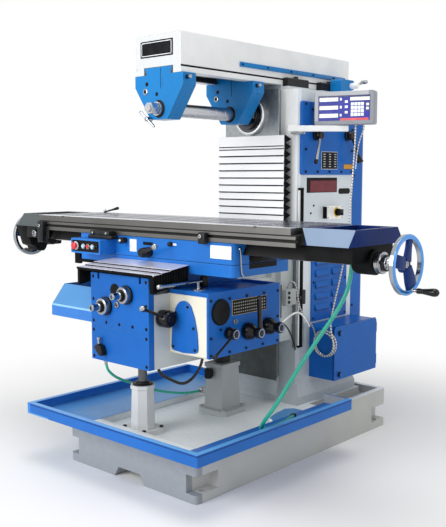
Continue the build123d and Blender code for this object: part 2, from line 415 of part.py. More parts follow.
def make_tool_box():
    box = block((COLUMN_X, TOOL_OUT), (TOOL_FRONT, TOOL_BACK), (TOOL_FOOT, TOOL_TOP))
    box = fillet(box.edges().filter_by(Axis.X).group_by(Axis.Z)[-1], TOOL_ROUND)
    inner = block((COLUMN_X + TOOL_SHEET, TOOL_OUT), (TOOL_FRONT + TOOL_SHEET, TOOL_BACK - TOOL_SHEET),
                  (TOOL_FOOT + TOOL_SHEET, TOOL_TOP - TOOL_SHEET))
    return box - fillet(inner.edges().filter_by(Axis.X).group_by(Axis.Z)[-1], TOOL_ROUND - TOOL_SHEET)


def make_tool_box_door():
    outer = TOOL_OUT + TOOL_DOOR
    door = block((TOOL_OUT, outer), (TOOL_FRONT, TOOL_BACK), (TOOL_FOOT, TOOL_TOP))
    door = fillet(door.edges().filter_by(Axis.X).group_by(Axis.Z)[-1], TOOL_ROUND)
    for z in TOOL_KNOB_Z:
        door += rod("x", (outer, outer + TOOL_KNOB_LONG), (TOOL_KNOB_Y, z), TOOL_KNOB_R)
    return door


def make_way_cover():
    pitch = (COVER_TOP - COVER_FOOT) / COVER_SLATS
    slats = []
    pleats = [(COVER_BACK, COVER_FOOT), (COVER_BACK, COVER_TOP)]
    for slat in range(COVER_SLATS):
        top = COVER_TOP - slat * pitch
        slats += [(COVER_FRONT + COVER_LIP, top), (COVER_FRONT, top - pitch)]
        pleats += [(COVER_PLEAT_IN, top), (COVER_PLEAT_OUT, top - pitch / 2)]
    slats += [(COVER_BACK, COVER_FOOT), (COVER_BACK, COVER_TOP)]
    pleats += [(COVER_PLEAT_IN, COVER_FOOT)]
    cover = prism("x", (-COVER_X, COVER_X), slats)
    return cover + both_sides(lambda side: prism("x", spread(side, COVER_SIDE_X, COVER_X), pleats))


def make_front_post():
    post_y = around(POST_Y, POST_FLANGE_Y)
    post = block((-POST_FLANGE_X, POST_FLANGE_X), post_y, (BASE_TOP, POST_FLANGE_TOP))
    post = chamfer(post.edges().filter_by(Axis.Z), POST_CHAMFER)

    def section(height, flat):
        outline = RegularPolygon(flat, POST_SIDES, major_radius=False, rotation=180 / POST_SIDES)
        return Pos(0, POST_Y, height) * outline

    post += loft([section(POST_FLANGE_TOP, POST_FLAT_FOOT), section(POST_NECK, POST_FLAT_HEAD)])
    post += extrude(section(POST_NECK, POST_FLAT_FOOT), POST_TOP - POST_NECK)
    return post - rod("z", (BASE_TOP, POST_TOP), (0, POST_Y), SHAFT_R + RUN_FIT)


def make_rear_post():
    post = block(around(NUT_X, NUT_FLANGE_X), around(NUT_Y, NUT_FLANGE_Y), (BASE_TOP, NUT_FLANGE_TOP))
    post = chamfer(post.edges().filter_by(Axis.Z), POST_CHAMFER)
    low = Pos(NUT_X, NUT_Y, NUT_FLANGE_TOP) * Rectangle(2 * NUT_FOOT_X, 2 * NUT_FOOT_Y)
    high = Pos(NUT_X, NUT_Y, NUT_NECK) * Rectangle(2 * NUT_HEAD_X, 2 * NUT_HEAD_Y)
    post += loft([low, high])
    post += block(around(NUT_X, NUT_FOOT_X), around(NUT_Y, NUT_FOOT_Y), (NUT_NECK, NUT_TOP))
    post += soft(block(ELBOW_X, ELBOW_Y, ELBOW_Z), Axis.X, ELBOW_ROUND)
    return post - rod("z", (BASE_TOP, NUT_TOP), (NUT_X, NUT_Y), SCREW_R + RUN_FIT)


def make_knee():
    back = WAY_FRONT - RUN_FIT
    wide = (-KNEE_X, KNEE_X)
    body = block(wide, (KNEE_FRONT, back), (KNEE_FOOT, KNEE_DECK))
    body += block((-KNEE_WAY_X, KNEE_WAY_X), (KNEE_FRONT, KNEE_REAR_FRONT), (KNEE_DECK, KNEE_WAY_TOP))
    body += block(wide, (KNEE_REAR_FRONT, back), (KNEE_DECK, COVER_FOOT))
    slope = (WAY_X - WAY_ROOT_X) / (COLUMN_FRONT - WAY_FRONT)
    hook_root = WAY_X + HOOK_GAP - slope * (HOOK_BACK - WAY_FRONT)

    def hook(side):
        outline = ((WAY_X - HOOK_GAP, HOOK_FRONT), (HOOK_X, HOOK_FRONT), (HOOK_X, HOOK_BACK),
                   (hook_root, HOOK_BACK), (WAY_X + HOOK_GAP, WAY_FRONT), (WAY_X + HOOK_GAP, back),
                   (WAY_X - HOOK_GAP, back))
        return prism("z", (KNEE_FOOT, COVER_FOOT), [(side * x, y) for x, y in outline])

    body += both_sides(hook)
    hollow_x = (-KNEE_HOLLOW_X, KNEE_HOLLOW_X)
    body -= block(hollow_x, (KNEE_HOLLOW_FRONT, KNEE_HOLLOW_BACK), (KNEE_FOOT, KNEE_CEILING))
    for place in (DIAL_CROSS, DIAL_LIFT):
        body -= rod("y", (KNEE_FRONT, KNEE_HOLLOW_FRONT), place, DIAL_STUB_R + RUN_FIT)
    return body - rod("x", (SIDE_STUB_END, KNEE_X), SIDE_HUB, SIDE_STUB_R + RUN_FIT)


def make_knee_plate():
    wide = (-KNEE_X, KNEE_X)
    plate = block(wide, (PLATE_FRONT, KNEE_FRONT), (KNEE_FOOT, PLATE_TOP))
    plate -= block(wide, (PLATE_FRONT, PLATE_FRONT + PLATE_GROOVE), (PLATE_SPLIT, PLATE_SPLIT + PLATE_GROOVE))
    for place in (DIAL_CROSS, DIAL_LIFT):
        plate -= rod("y", (PLATE_FRONT, KNEE_FRONT), place, DIAL_STUB_R + RUN_FIT)
    eye_y = (PLATE_FRONT, PLATE_FRONT + PLATE_EYE_DEEP)
    bolt_y = (PLATE_FRONT, PLATE_FRONT + PLATE_BOLT_DEEP)
    plate -= rod("y", eye_y, PLATE_EYE, PLATE_EYE_R)
    plate -= rod("y", bolt_y, (PUMP_X, PUMP_Z), PUMP_PIVOT_R + RUN_FIT)
    bolts = [(side * PLATE_BOLT_X, z) for side in (-1, 1) for z in PLATE_BOLT_Z]
    bolts += [(x, PLATE_BOLT_Z[2]) for x in PLATE_ROW_X]
    for place in bolts:
        plate -= rod("y", bolt_y, place, PLATE_BOLT_R)
    for side in (-1, 1):
        slot_x = around(side * PLATE_SLOT_X, PLATE_SLOT_W / 2)
        plate -= block(slot_x, eye_y, (PLATE_TOP - PLATE_SLOT_DEEP, PLATE_TOP))
    return plate


def roof_z(y):
    """Height of the sloping knee cover at a depth."""
    return ROOF_FRONT_Z + (ROOF_BACK_Z - ROOF_FRONT_Z) * (y - ROOF_FRONT) / (ROOF_BACK - ROOF_FRONT)


def make_knee_cover():
    pitch = (ROOF_BACK - ROOF_FRONT) / ROOF_SLATS
    top = []
    for slat in range(ROOF_SLATS):
        start = ROOF_FRONT + slat * pitch
        top += [(start, roof_z(start) + ROOF_LIP), (start + pitch, roof_z(start + pitch))]
    under = [(ROOF_BACK, ROOF_BACK_Z - ROOF_THICK), (ROOF_FRONT, ROOF_FRONT_Z - ROOF_THICK)]
    cover = prism("x", (-ROOF_X, ROOF_X), top + under)
    fold = (ROOF_BACK - ROOF_FRONT) / ROOF_PLEATS

    def skirt(side):
        outline = [(side * SKIRT_IN_X, ROOF_BACK), (side * SKIRT_IN_X, ROOF_FRONT)]
        for pleat in range(ROOF_PLEATS):
            start = ROOF_FRONT + pleat * fold
            outline += [(side * ROOF_X, start), (side * ROOF_PLEAT_X, start + fold / 2)]
        outline += [(side * ROOF_X, ROOF_BACK)]
        wall = prism("z", (SKIRT_FRONT_Z, ROOF_BACK_Z), outline)
        side_view = ((ROOF_FRONT, SKIRT_FRONT_Z), (ROOF_BACK, SKIRT_BACK_Z),
                     (ROOF_BACK, ROOF_BACK_Z - ROOF_LIP), (ROOF_FRONT, ROOF_FRONT_Z - ROOF_LIP))
        return wall & prism("x", spread(side, SKIRT_IN_X, ROOF_X), side_view)

    cover += both_sides(skirt)
    foot_y = (PLATE_FRONT, (PLATE_FRONT + KNEE_FRONT) / 2)
    return cover + block((-KNEE_X, KNEE_X), foot_y, (PLATE_TOP, ROOF_FRONT_Z))


def make_side_trough():
    wall = TROUGH_SHEET
    outer = ((TROUGH_FRONT, TROUGH_FOOT), (TROUGH_BACK, TROUGH_FOOT), (TROUGH_BACK, TROUGH_TOP),
             (TROUGH_EDGE_Y, TROUGH_TOP), (TROUGH_FRONT, TROUGH_LIP_Z))
    inner = ((TROUGH_FRONT + wall, TROUGH_FOOT + wall), (TROUGH_BACK - wall, TROUGH_FOOT + wall),
             (TROUGH_BACK - wall, TROUGH_TOP), (TROUGH_EDGE_Y + wall, TROUGH_TOP),
             (TROUGH_FRONT + wall, TROUGH_LIP_Z))
    return prism("x", (TROUGH_X, -KNEE_X), outer) - prism("x", (TROUGH_X + wall, -KNEE_X - wall), inner)


def make_feed_box():
    box = block((KNEE_X, FEED_X), (FEED_FRONT, FEED_BACK), (FEED_FOOT, FEED_TOP))
    box = fillet(box.edges().filter_by(Axis.X).group_by(Axis.Z)[0], FEED_ROUND)
    return box - block((KNEE_X + FEED_WALL, FEED_X), (FEED_FRONT + FEED_WALL, FEED_BACK - FEED_WALL),
                       (FEED_FOOT + FEED_WALL, FEED_TOP - FEED_WALL))


def make_feed_cover():
    outer = FEED_X + FEED_PLATE
    depth = (FEED_FRONT, FEED_BACK)
    cover = block((FEED_X, outer), depth, (FEED_FOOT, FEED_TOP))
    cover = fillet(cover.edges().filter_by(Axis.X).group_by(Axis.Z)[0], FEED_ROUND)
    cover += block((FEED_LID_X, outer), depth, (FEED_TOP, FEED_LID_TOP))
    well_y = (LID_WELL_FRONT, FEED_BACK - LID_RIM)
    cover -= block((FEED_LID_X + LID_RIM, outer - LID_RIM), well_y, (LID_WELL_FLOOR, FEED_LID_TOP))
    for place in (FEED_FRONT_HUB, FEED_MIDDLE_HUB, FEED_BACK_HUB):
        cover -= rod("x", (FEED_X, outer), place, FEED_STUB_R + RUN_FIT)
    return cover


def feed_knob(place, shape):
    """A turned knob with the stub that runs in the feed cover."""
    outline = off_face(FEED_X + FEED_PLATE, 1, shape)
    stub = ((FEED_X - FEED_STUB_IN, FEED_STUB_R), (outline[0][0], FEED_STUB_R))
    return turned("x", place, stub + outline)


def make_feed_lever_front():
    lever = bar((FEED_FRONT_TIP[0], *FEED_FRONT_HUB), FEED_FRONT_TIP, FEED_FRONT_R)
    return feed_knob(FEED_FRONT_HUB, KNOB_SMALL) + lever + ball(FEED_FRONT_TIP, FEED_FRONT_BALL)


def make_feed_lever_middle():
    lever = bar((FEED_MIDDLE_TIP[0], *FEED_MIDDLE_HUB), FEED_MIDDLE_TIP, FEED_MIDDLE_R)
    return feed_knob(FEED_MIDDLE_HUB, KNOB_LARGE) + lever + ball(FEED_MIDDLE_TIP, FEED_MIDDLE_R)


def make_side_lever():
    face = KNEE_X + RUN_FIT
    edge = SIDE_LEVER_R
    hub = turned("x", SIDE_HUB, ((SIDE_STUB_END, SIDE_STUB_R), (face, SIDE_STUB_R), (face, SIDE_HUB_R - edge),
                                 (face + edge, SIDE_HUB_R), (SIDE_HUB_END - edge, SIDE_HUB_R),
                                 (SIDE_HUB_END, SIDE_HUB_R - edge)))
    lever = bar((SIDE_TIP[0], *SIDE_HUB), SIDE_TIP, SIDE_LEVER_R)
    return hub + lever + ball(SIDE_TIP, SIDE_BALL_R)


def dial_shaft(place):
    """A feed shaft with its graduated collar and the claw that takes a crank."""
    x, z = place
    outline = off_face(PLATE_FRONT, -1, DIAL)
    shaft = turned("y", place, ((DIAL_STUB_END, DIAL_STUB_R), (outline[0][0], DIAL_STUB_R)) + outline)
    tip = outline[-1][0]
    return shaft - block(around(x, DIAL_SLOT_W / 2), (tip, tip + DIAL_SLOT_DEEP), around(z, DIAL_STUB_R * 2))


def make_saddle_clamp():
    x, y = CLAMP_PIVOT
    tip = (x, CLAMP_TIP_Y, CLAMP_Z)
    post = rod("z", (FEED_LID_TOP + RUN_FIT, CLAMP_TOP), CLAMP_PIVOT, CLAMP_PIVOT_R)
    return post + bar((x, y, CLAMP_Z), tip, CLAMP_R) + ball(tip, CLAMP_BALL_R)


def make_pump_handle():
    face = PLATE_FRONT - RUN_FIT
    pivot = rod("y", (face, PLATE_FRONT + PLATE_BOLT_DEEP), (PUMP_X, PUMP_Z), PUMP_PIVOT_R)
    body = block(around(PUMP_X, PUMP_BLOCK_X), (PUMP_BLOCK_Y, face), around(PUMP_Z, PUMP_BLOCK_Z))
    middle = (PUMP_BLOCK_Y + face) / 2
    tip = (PUMP_X, middle, PUMP_PIN_TOP)
    pin = bar((PUMP_X, middle, PUMP_Z), tip, PUMP_PIN_R)
    return pivot + soft(body, Axis.Y, PUMP_PIN_R) + pin + ball(tip, PUMP_BALL_R)


def make_saddle():
    depth = (SADDLE_FRONT, SADDLE_BACK)
    body = soft(block((-SADDLE_X, SADDLE_X), depth, (SADDLE_FOOT, SADDLE_TOP)), Axis.Z, SADDLE_ROUND)
    body += block((-KNEE_X, KNEE_X), depth, (KNEE_WAY_TOP, SADDLE_FOOT))
    gib_z = (SADDLE_GIB_FOOT, KNEE_WAY_TOP)
    body += both_sides(lambda side: block(spread(side, KNEE_WAY_X + RUN_FIT, KNEE_X), depth, gib_z))
    return body + rod("z", (SADDLE_TOP, SADDLE_TOP + PIVOT_TALL), (0, TABLE_Y), PIVOT_R)


def make_swivel_housing():
    wide = (-SADDLE_X, SADDLE_X)
    body = soft(block(wide, (SADDLE_FRONT, SADDLE_BACK), (HOUSE_FOOT, HOUSE_TOP)), Axis.Z, SADDLE_ROUND)
    body += rod("z", (SADDLE_TOP, HOUSE_FOOT), (0, TABLE_Y), HOUSE_DISC_R)
    body -= rod("z", (SADDLE_TOP, SADDLE_TOP + PIVOT_TALL + RUN_FIT), (0, TABLE_Y), PIVOT_R + RUN_FIT)
    neck, foot = SLIDE_NECK + SLIDE_GAP, SLIDE_FOOT + SLIDE_GAP
    slot = ((TABLE_Y - foot, SLIDE_FOOT_Z), (TABLE_Y + foot, SLIDE_FOOT_Z),
            (TABLE_Y + neck, SLIDE_NECK_Z), (TABLE_Y - neck, SLIDE_NECK_Z))
    body -= prism("x", wide, slot)
    body -= block(wide, around(TABLE_Y, SCREW_LANE), (SCREW_LANE_Z, SLIDE_FOOT_Z))
    body -= block((POCKET_IN, SADDLE_X), (POCKET_FRONT, POCKET_BACK), (SCREW_LANE_Z, SLIDE_FOOT_Z))
    return body - rod("y", (SADDLE_FRONT, TRIP_STUB_END), TRIP_HUB, TRIP_STUB_R + RUN_FIT)


def make_control_box():
    box = soft(block((BOX_LEFT, BOX_RIGHT), (BOX_FRONT, SADDLE_FRONT), (BOX_FOOT, BOX_TOP)), Axis.Y, BOX_ROUND)
    box -= block((BOX_LEFT + BOX_MARGIN, BOX_RIGHT - BOX_MARGIN), (BOX_FRONT, BOX_FRONT + BOX_INSET),
                 (BOX_FOOT + BOX_MARGIN, BOX_TOP - BOX_MARGIN))
    box -= rod("y", (BOX_FRONT, BUTTON_HOLE), (STOP_X, BUTTON_Z), STOP_STEM_R + RUN_FIT)
    for x in BUTTON_X:
        box -= rod("y", (BOX_FRONT, BUTTON_HOLE), (x, BUTTON_Z), BUTTON_R + RUN_FIT)
    return box


def make_stop_button():
    outline = off_face(BOX_FRONT, -1, STOP)
    stem = ((BUTTON_BACK, STOP_STEM_R), (outline[0][0], STOP_STEM_R))
    return turned("y", (STOP_X, BUTTON_Z), stem + outline)


def push_button(x):
    """A flat push button in the control box."""
    rim = (BUTTON_FRONT + BUTTON_EDGE, BUTTON_R)
    return turned("y", (x, BUTTON_Z), ((BUTTON_BACK, BUTTON_R), rim, (BUTTON_FRONT, BUTTON_R - BUTTON_EDGE)))


def make_table_trip_lever():
    x, z = TRIP_HUB
    face = SADDLE_FRONT - RUN_FIT
    hub = turned("y", TRIP_HUB, ((TRIP_STUB_END, TRIP_STUB_R), (face, TRIP_STUB_R), (face, TRIP_HUB_R),
                                 (TRIP_FRONT + TRIP_EDGE, TRIP_HUB_R), (TRIP_FRONT, TRIP_HUB_R - TRIP_EDGE)))
    return hub + bar((x, TRIP_LEVER_Y, z), TRIP_TIP, TRIP_R) + ball(TRIP_TIP, TRIP_BALL_R)


def make_table():
    wide = (-TABLE_X, TABLE_X)
    depth = (TABLE_FRONT, TABLE_BACK)
    body = block(wide, depth, (TABLE_FOOT, TABLE_STEP))
    body += block((-TABLE_X, TABLE_TOP_X), depth, (TABLE_STEP, TABLE_TOP))
    slide = ((TABLE_Y - SLIDE_FOOT, SLIDE_FOOT_Z), (TABLE_Y + SLIDE_FOOT, SLIDE_FOOT_Z),
             (TABLE_Y + SLIDE_NECK, TABLE_FOOT), (TABLE_Y - SLIDE_NECK, TABLE_FOOT))
    body += prism("x", wide, slide)
    body -= block(wide, around(TABLE_Y, LANE_HALF), (SLIDE_FOOT_Z, LANE_TOP))
    for y in SLOT_Y:
        body -= block(wide, around(y, SLOT_W / 2), (TABLE_TOP - SLOT_NECK, TABLE_TOP))
        body -= block(wide, around(y, SLOT_HEAD_W / 2), (TABLE_TOP - SLOT_DEEP, TABLE_TOP - SLOT_NECK))
    body -= block(wide, (TABLE_FRONT, TABLE_FRONT + DOG_DEEP), (DOG_LOW, DOG_HIGH))
    body -= block(wide, (TABLE_FRONT, TABLE_FRONT + STEP_DEEP), (TABLE_STEP - STEP_TALL, TABLE_STEP))
    for side in (-1, 1):
        body -= block(around(side * GUTTER_X, GUTTER_W / 2), depth, (TABLE_TOP - GUTTER_DEEP, TABLE_TOP))
    return body


END_OUTLINE = ((TABLE_Y - END_FOOT_HALF, END_FOOT_Z), (TABLE_Y + END_FOOT_HALF, END_FOOT_Z),
               (TABLE_Y + END_TOP_HALF, TABLE_TOP), (TABLE_Y - END_TOP_HALF, TABLE_TOP))
END_WELL_Y = around(TABLE_Y, END_TOP_HALF - END_WALL)


def make_end_trough():
    body = prism("x", (TABLE_X, END_RIGHT), END_OUTLINE)
    wedge = ((TABLE_X, TABLE_TOP), (WEDGE_TOP, TABLE_TOP), (WEDGE_FOOT, END_FOOT_Z), (TABLE_X, END_FOOT_Z))
    body -= prism("y", around(TABLE_Y, END_FOOT_HALF), wedge)
    return body - block((WEDGE_FOOT + END_WALL, END_RIGHT - END_WALL), END_WELL_Y, (END_WELL_Z, TABLE_TOP))


def make_bearing_right():
    body = prism("x", (TABLE_X, WEDGE_FOOT), END_OUTLINE)
    keep = ((TABLE_X, TABLE_TOP), (WEDGE_TOP - WEDGE_GAP, TABLE_TOP), (WEDGE_FOOT - WEDGE_GAP, END_FOOT_Z),
            (TABLE_X, END_FOOT_Z))
    body &= prism("y", around(TABLE_Y, END_FOOT_HALF), keep)
    body += block((TABLE_X, BEAM_RIGHT), around(TABLE_Y, BEAM_HALF), (SLIDE_FOOT_Z, END_FOOT_Z))
    body += turned("x", (TABLE_Y, SCREW_Z), HUB_RIGHT)
    return body - rod("x", (TABLE_X, HUB_RIGHT[-1][0]), (TABLE_Y, SCREW_Z), LEAD_R + RUN_FIT)


def make_bracket_left():
    body = prism("x", (END_LEFT, -TABLE_X), END_OUTLINE)
    body -= block((END_LEFT + END_WALL, -TABLE_X - END_WALL), END_WELL_Y, (END_WELL_Z, TABLE_TOP))
    body += block((BEAM_LEFT, -TABLE_X), around(TABLE_Y, BEAM_HALF), (SLIDE_FOOT_Z, END_FOOT_Z))
    body += turned("x", (TABLE_Y, SCREW_Z), HUB_LEFT)
    return body - rod("x", (HUB_LEFT[-1][0], -TABLE_X), (TABLE_Y, SCREW_Z), LEAD_R + RUN_FIT)


def handwheel(middle, side, dial):
    """Rim, three spokes, dial and crank grip; the grip points away from the table."""
    wheel = turned("x", (0, 0), off_face(0, side, dial))
    wheel += Plane.YZ * Torus(WHEEL_R, WHEEL_TUBE)
    reach = WHEEL_R - WHEEL_TUBE / 2
    spoke = ((0, -SPOKE_FOOT), (reach, -SPOKE_HEAD), (reach, SPOKE_HEAD), (0, SPOKE_FOOT))
    for turn in SPOKE_TURNS:
        wheel += Rot(turn, 0, 0) * prism("x", (-SPOKE_HALF, SPOKE_HALF), spoke)
    angle = radians(SPOKE_TURNS[0])
    wheel += turned("x", (WHEEL_R * cos(angle), WHEEL_R * sin(angle)), off_face(0, side, GRIP))
    return Pos(middle, TABLE_Y, SCREW_Z) * wheel


def make_spindle():
    body = turned("y", (0, SPINDLE_Z), NOSE)
    body -= rod("y", (NOSE_FRONT, NOSE_BORE_END), (0, SPINDLE_Z), NOSE_BORE_R)
    for side in (-1, 1):
        key_x = around(side * DRIVE_KEY_X, DRIVE_KEY_TALL / 2)
        body += block(key_x, (DRIVE_KEY_OUT, NOSE_FRONT), around(SPINDLE_Z, DRIVE_KEY_W / 2))
    return body


def make_arbor():
    outline = [(ARBOR_BACK, ARBOR_R)]
    for collar in range(COLLAR_COUNT):
        seam = NOSE_FRONT - COLLAR_GROOVE - collar * COLLAR_LENGTH
        outline += [(seam + COLLAR_GROOVE, ARBOR_R), (seam, ARBOR_R - COLLAR_GROOVE)]
        outline += [(seam - COLLAR_GROOVE, ARBOR_R)]
    outline += [(ARBOR_FRONT, ARBOR_R), (ARBOR_FRONT, ARBOR_THREAD_R), (ARBOR_TIP, ARBOR_THREAD_R)]
    body = turned("y", (0, SPINDLE_Z), outline)
    plane = facing("y", ARBOR_NUT, (0, SPINDLE_Z))
    hexagon = RegularPolygon(ARBOR_NUT_FLAT, 6, major_radius=False)
    return body + extrude(plane * hexagon, ARBOR_NUT[1] - ARBOR_NUT[0], dir=plane.z_dir)


def make_overarm():
    depth = (ARM_FRONT, ARM_BACK)
    body = soft(block((-ARM_X, ARM_X), depth, (GUIDE_FOOT_Z, ARM_TOP)), Axis.Y, ARM_ROUND / 2)
    groove = ((-GUIDE_NECK, GUIDE_FOOT_Z), (GUIDE_NECK, GUIDE_FOOT_Z), (GUIDE_HEAD, GUIDE_TOP_Z),
              (-GUIDE_HEAD, GUIDE_TOP_Z))
    body -= prism("y", depth, groove)
    hollow_x = (-ARM_HOLLOW_X, ARM_HOLLOW_X)
    body -= block(hollow_x, (ARM_HOLLOW_FRONT, ARM_BACK), (ARM_HOLLOW_FOOT, ARM_HOLLOW_TOP))
    line_z = (ARM_LINE_FOOT, ARM_LINE_TOP)
    return body - both_sides(lambda side: block(spread(side, ARM_X - ARM_LINE_DEEP, ARM_X), depth, line_z))


def arbor_support(front):
    """A hanger on the overarm's dovetail with the arbor's bearing."""
    depth = (front, front + HANGER_THICK)
    seat = (front, front + HANGER_SEAT_DEEP)
    outline = ((-HANGER_X, HANGER_TOP), (-HANGER_X, HANGER_SIDE_Z), (-HANGER_FOOT_X, HANGER_FOOT),
               (HANGER_FOOT_X, HANGER_FOOT), (HANGER_X, HANGER_SIDE_Z), (HANGER_X, HANGER_TOP))
    body = prism("y", depth, outline)
    body = fillet(body.edges().filter_by(Axis.Y).group_by(Axis.Z)[0], ARM_ROUND * 2)
    body += prism("y", depth, guide_outline(HANGER_TOP))
    body -= block((HANGER_SPLIT_X, HANGER_SPLIT_X + HANGER_SPLIT_W), seat, (HANGER_SIDE_Z, HANGER_TOP))
    body -= rod("y", seat, (0, SPINDLE_Z), HANGER_SEAT_R)
    return body - rod("y", depth, (0, SPINDLE_Z), ARBOR_R + RUN_FIT)


def make_overarm_clamps():
    clamps = []
    for start in CLAMP_BLOCK_Y:
        clamp = block(CLAMP_BLOCK_X, (start, start + CLAMP_BLOCK_LONG), (COLUMN_TOP, CLAMP_BLOCK_TOP))
        middle = (sum(CLAMP_BLOCK_X) / 2, start + CLAMP_BLOCK_LONG / 2)
        bolt = rod("z", (CLAMP_BLOCK_TOP, CLAMP_BLOCK_TOP + CLAMP_BOLT_TALL), middle, CLAMP_BOLT_R)
        clamps.append(soft(clamp, Axis.Y, ARM_ROUND) + bolt)
    return Compound(children=clamps)


def make_pinion_block():
    body = soft(block(PINION_X, (PINION_FRONT, PINION_BACK), (PINION_LIFT, PINION_TOP)), Axis.X, ARM_ROUND * 2)
    body += block(PINION_X, (PINION_FRONT, COLUMN_BACK), (PINION_FOOT, PINION_LIFT + ARM_ROUND * 2))
    return body - rod("x", (PINION_X[0] + CRANK_HUB_R, PINION_X[1]), PINION_AXIS, PINION_STUB_R + RUN_FIT)


def make_pinion_crank():
    face = PINION_X[1] + RUN_FIT
    stub = ((PINION_X[0] + CRANK_HUB_R * 2, PINION_STUB_R), (face, PINION_STUB_R))
    hub = turned("x", PINION_AXIS, stub + ((face, CRANK_HUB_R), (CRANK_HUB_END, CRANK_HUB_R)))
    arm = bar((CRANK_TIP[0], *PINION_AXIS), CRANK_TIP, CRANK_R)
    grip = rod("x", (CRANK_GRIP_START, CRANK_GRIP_END), CRANK_TIP[1:], CRANK_GRIP_R)
    return hub + arm + chamfer(grip.edges(), CRANK_GRIP_EDGE)


def along_arm(distance, height):
    """A point on the readout's arm, out from its pivot."""
    turn = radians(DRO_TURN)
    return (POLE_X + distance * cos(turn), POLE_Y + distance * sin(turn), height)


def make_readout_arm():
    middle = along_arm((DRO_REACH - DRO_TAIL) / 2, (DRO_ARM_FOOT + POLE_TOP) / 2)
    beam = soft(Box(DRO_TAIL + DRO_REACH, DRO_ARM_THICK, POLE_TOP - DRO_ARM_FOOT), Axis.X, DRO_ROUND / 4)
    arm = Pos(*middle) * Rot(0, 0, DRO_TURN) * beam
    return arm + rod("z", (BRACKET_TOP + RUN_FIT, DRO_ARM_FOOT + POLE_R), (POLE_X, POLE_Y), POLE_R)


def make_readout():
    middle = along_arm(DRO_OUT, (DRO_FOOT + DRO_TOP) / 2)
    case = soft(Box(DRO_WIDE, DRO_DEEP, DRO_TOP - DRO_FOOT), Axis.Y, DRO_ROUND)
    case = fillet(case.faces().sort_by(Axis.Y)[0].edges(), DRO_ROUND / 3)
    face = Box(DRO_WIDE - 2 * DRO_FACE_MARGIN, DRO_FACE_IN * 2, DRO_TOP - DRO_FOOT - 2 * DRO_FACE_MARGIN)
    case -= Pos(0, -DRO_DEEP / 2, 0) * face
    unit = Pos(*middle) * Rot(0, 0, DRO_FACE_TURN) * case
    return unit + rod("z", (POLE_TOP + RUN_FIT, DRO_FOOT + DRO_ROUND), along_arm(DRO_OUT, 0)[:2], DRO_PIN_R)


def coil_point(turn):
    """A point on the coil's centre line at an angle; the coil goes back as it winds."""
    back = COIL_FRONT + COIL_PITCH * (COIL_START - turn) / 360
    return Vector(COIL_X + COIL_R * cos(radians(turn)), back, COIL_Z + COIL_R * sin(radians(turn)))


def coil_way(turn):
    """The direction in which the coil runs at an angle."""
    return Vector(sin(radians(turn)), COIL_PITCH / (2 * pi * COIL_R), -cos(radians(turn))).normalized()


def biarc(start, way, end, end_way):
    """Two tangent arcs from one point and direction to another."""
    chord = end - start
    both = way + end_way
    turn = 2 * (1 - way.dot(end_way))
    reach = (-chord.dot(both) + sqrt(chord.dot(both) ** 2 + turn * chord.dot(chord))) / turn
    corner = start + way * reach
    middle = (corner + end - end_way * reach) / 2
    return [TangentArc(start, middle, tangent=way), TangentArc(middle, end, tangent=middle - corner)]


def make_readout_cable():
    way = coil_way(COIL_START)
    end = coil_point(COIL_START) - way * COIL_LEAD
    return tube(CABLE_ROUTE + (tuple(end - way * CABLE_LAST_RUN), tuple(end)), CABLE_R)


def make_cable_coil():
    turns = [COIL_START + (COIL_END - COIL_START) * step / COIL_STEPS for step in range(COIL_STEPS + 1)]
    first, last = coil_point(COIL_START), coil_point(COIL_END)
    edges = [Line(first - coil_way(COIL_START) * COIL_LEAD, first)]
    for here, there in zip(turns, turns[1:]):
        edges += biarc(coil_point(here), coil_way(here), coil_point(there), coil_way(there))
    edges += [Line(last, last + coil_way(COIL_END) * COIL_LEAD)]
    path = Wire([edge.edge() for edge in edges])
    points = [path @ (step / GAP_SAMPLES) for step in range(GAP_SAMPLES + 1)]
    apart = [(a - b).length for index, a in enumerate(points) for b in points[index + GAP_APART:]]
    print("coil length", round(path.length), "least gap between turns", round(min(apart) - 2 * CABLE_R, 2))
    return sweep(Plane(path @ 0, z_dir=path % 0) * Circle(CABLE_R), path=path)


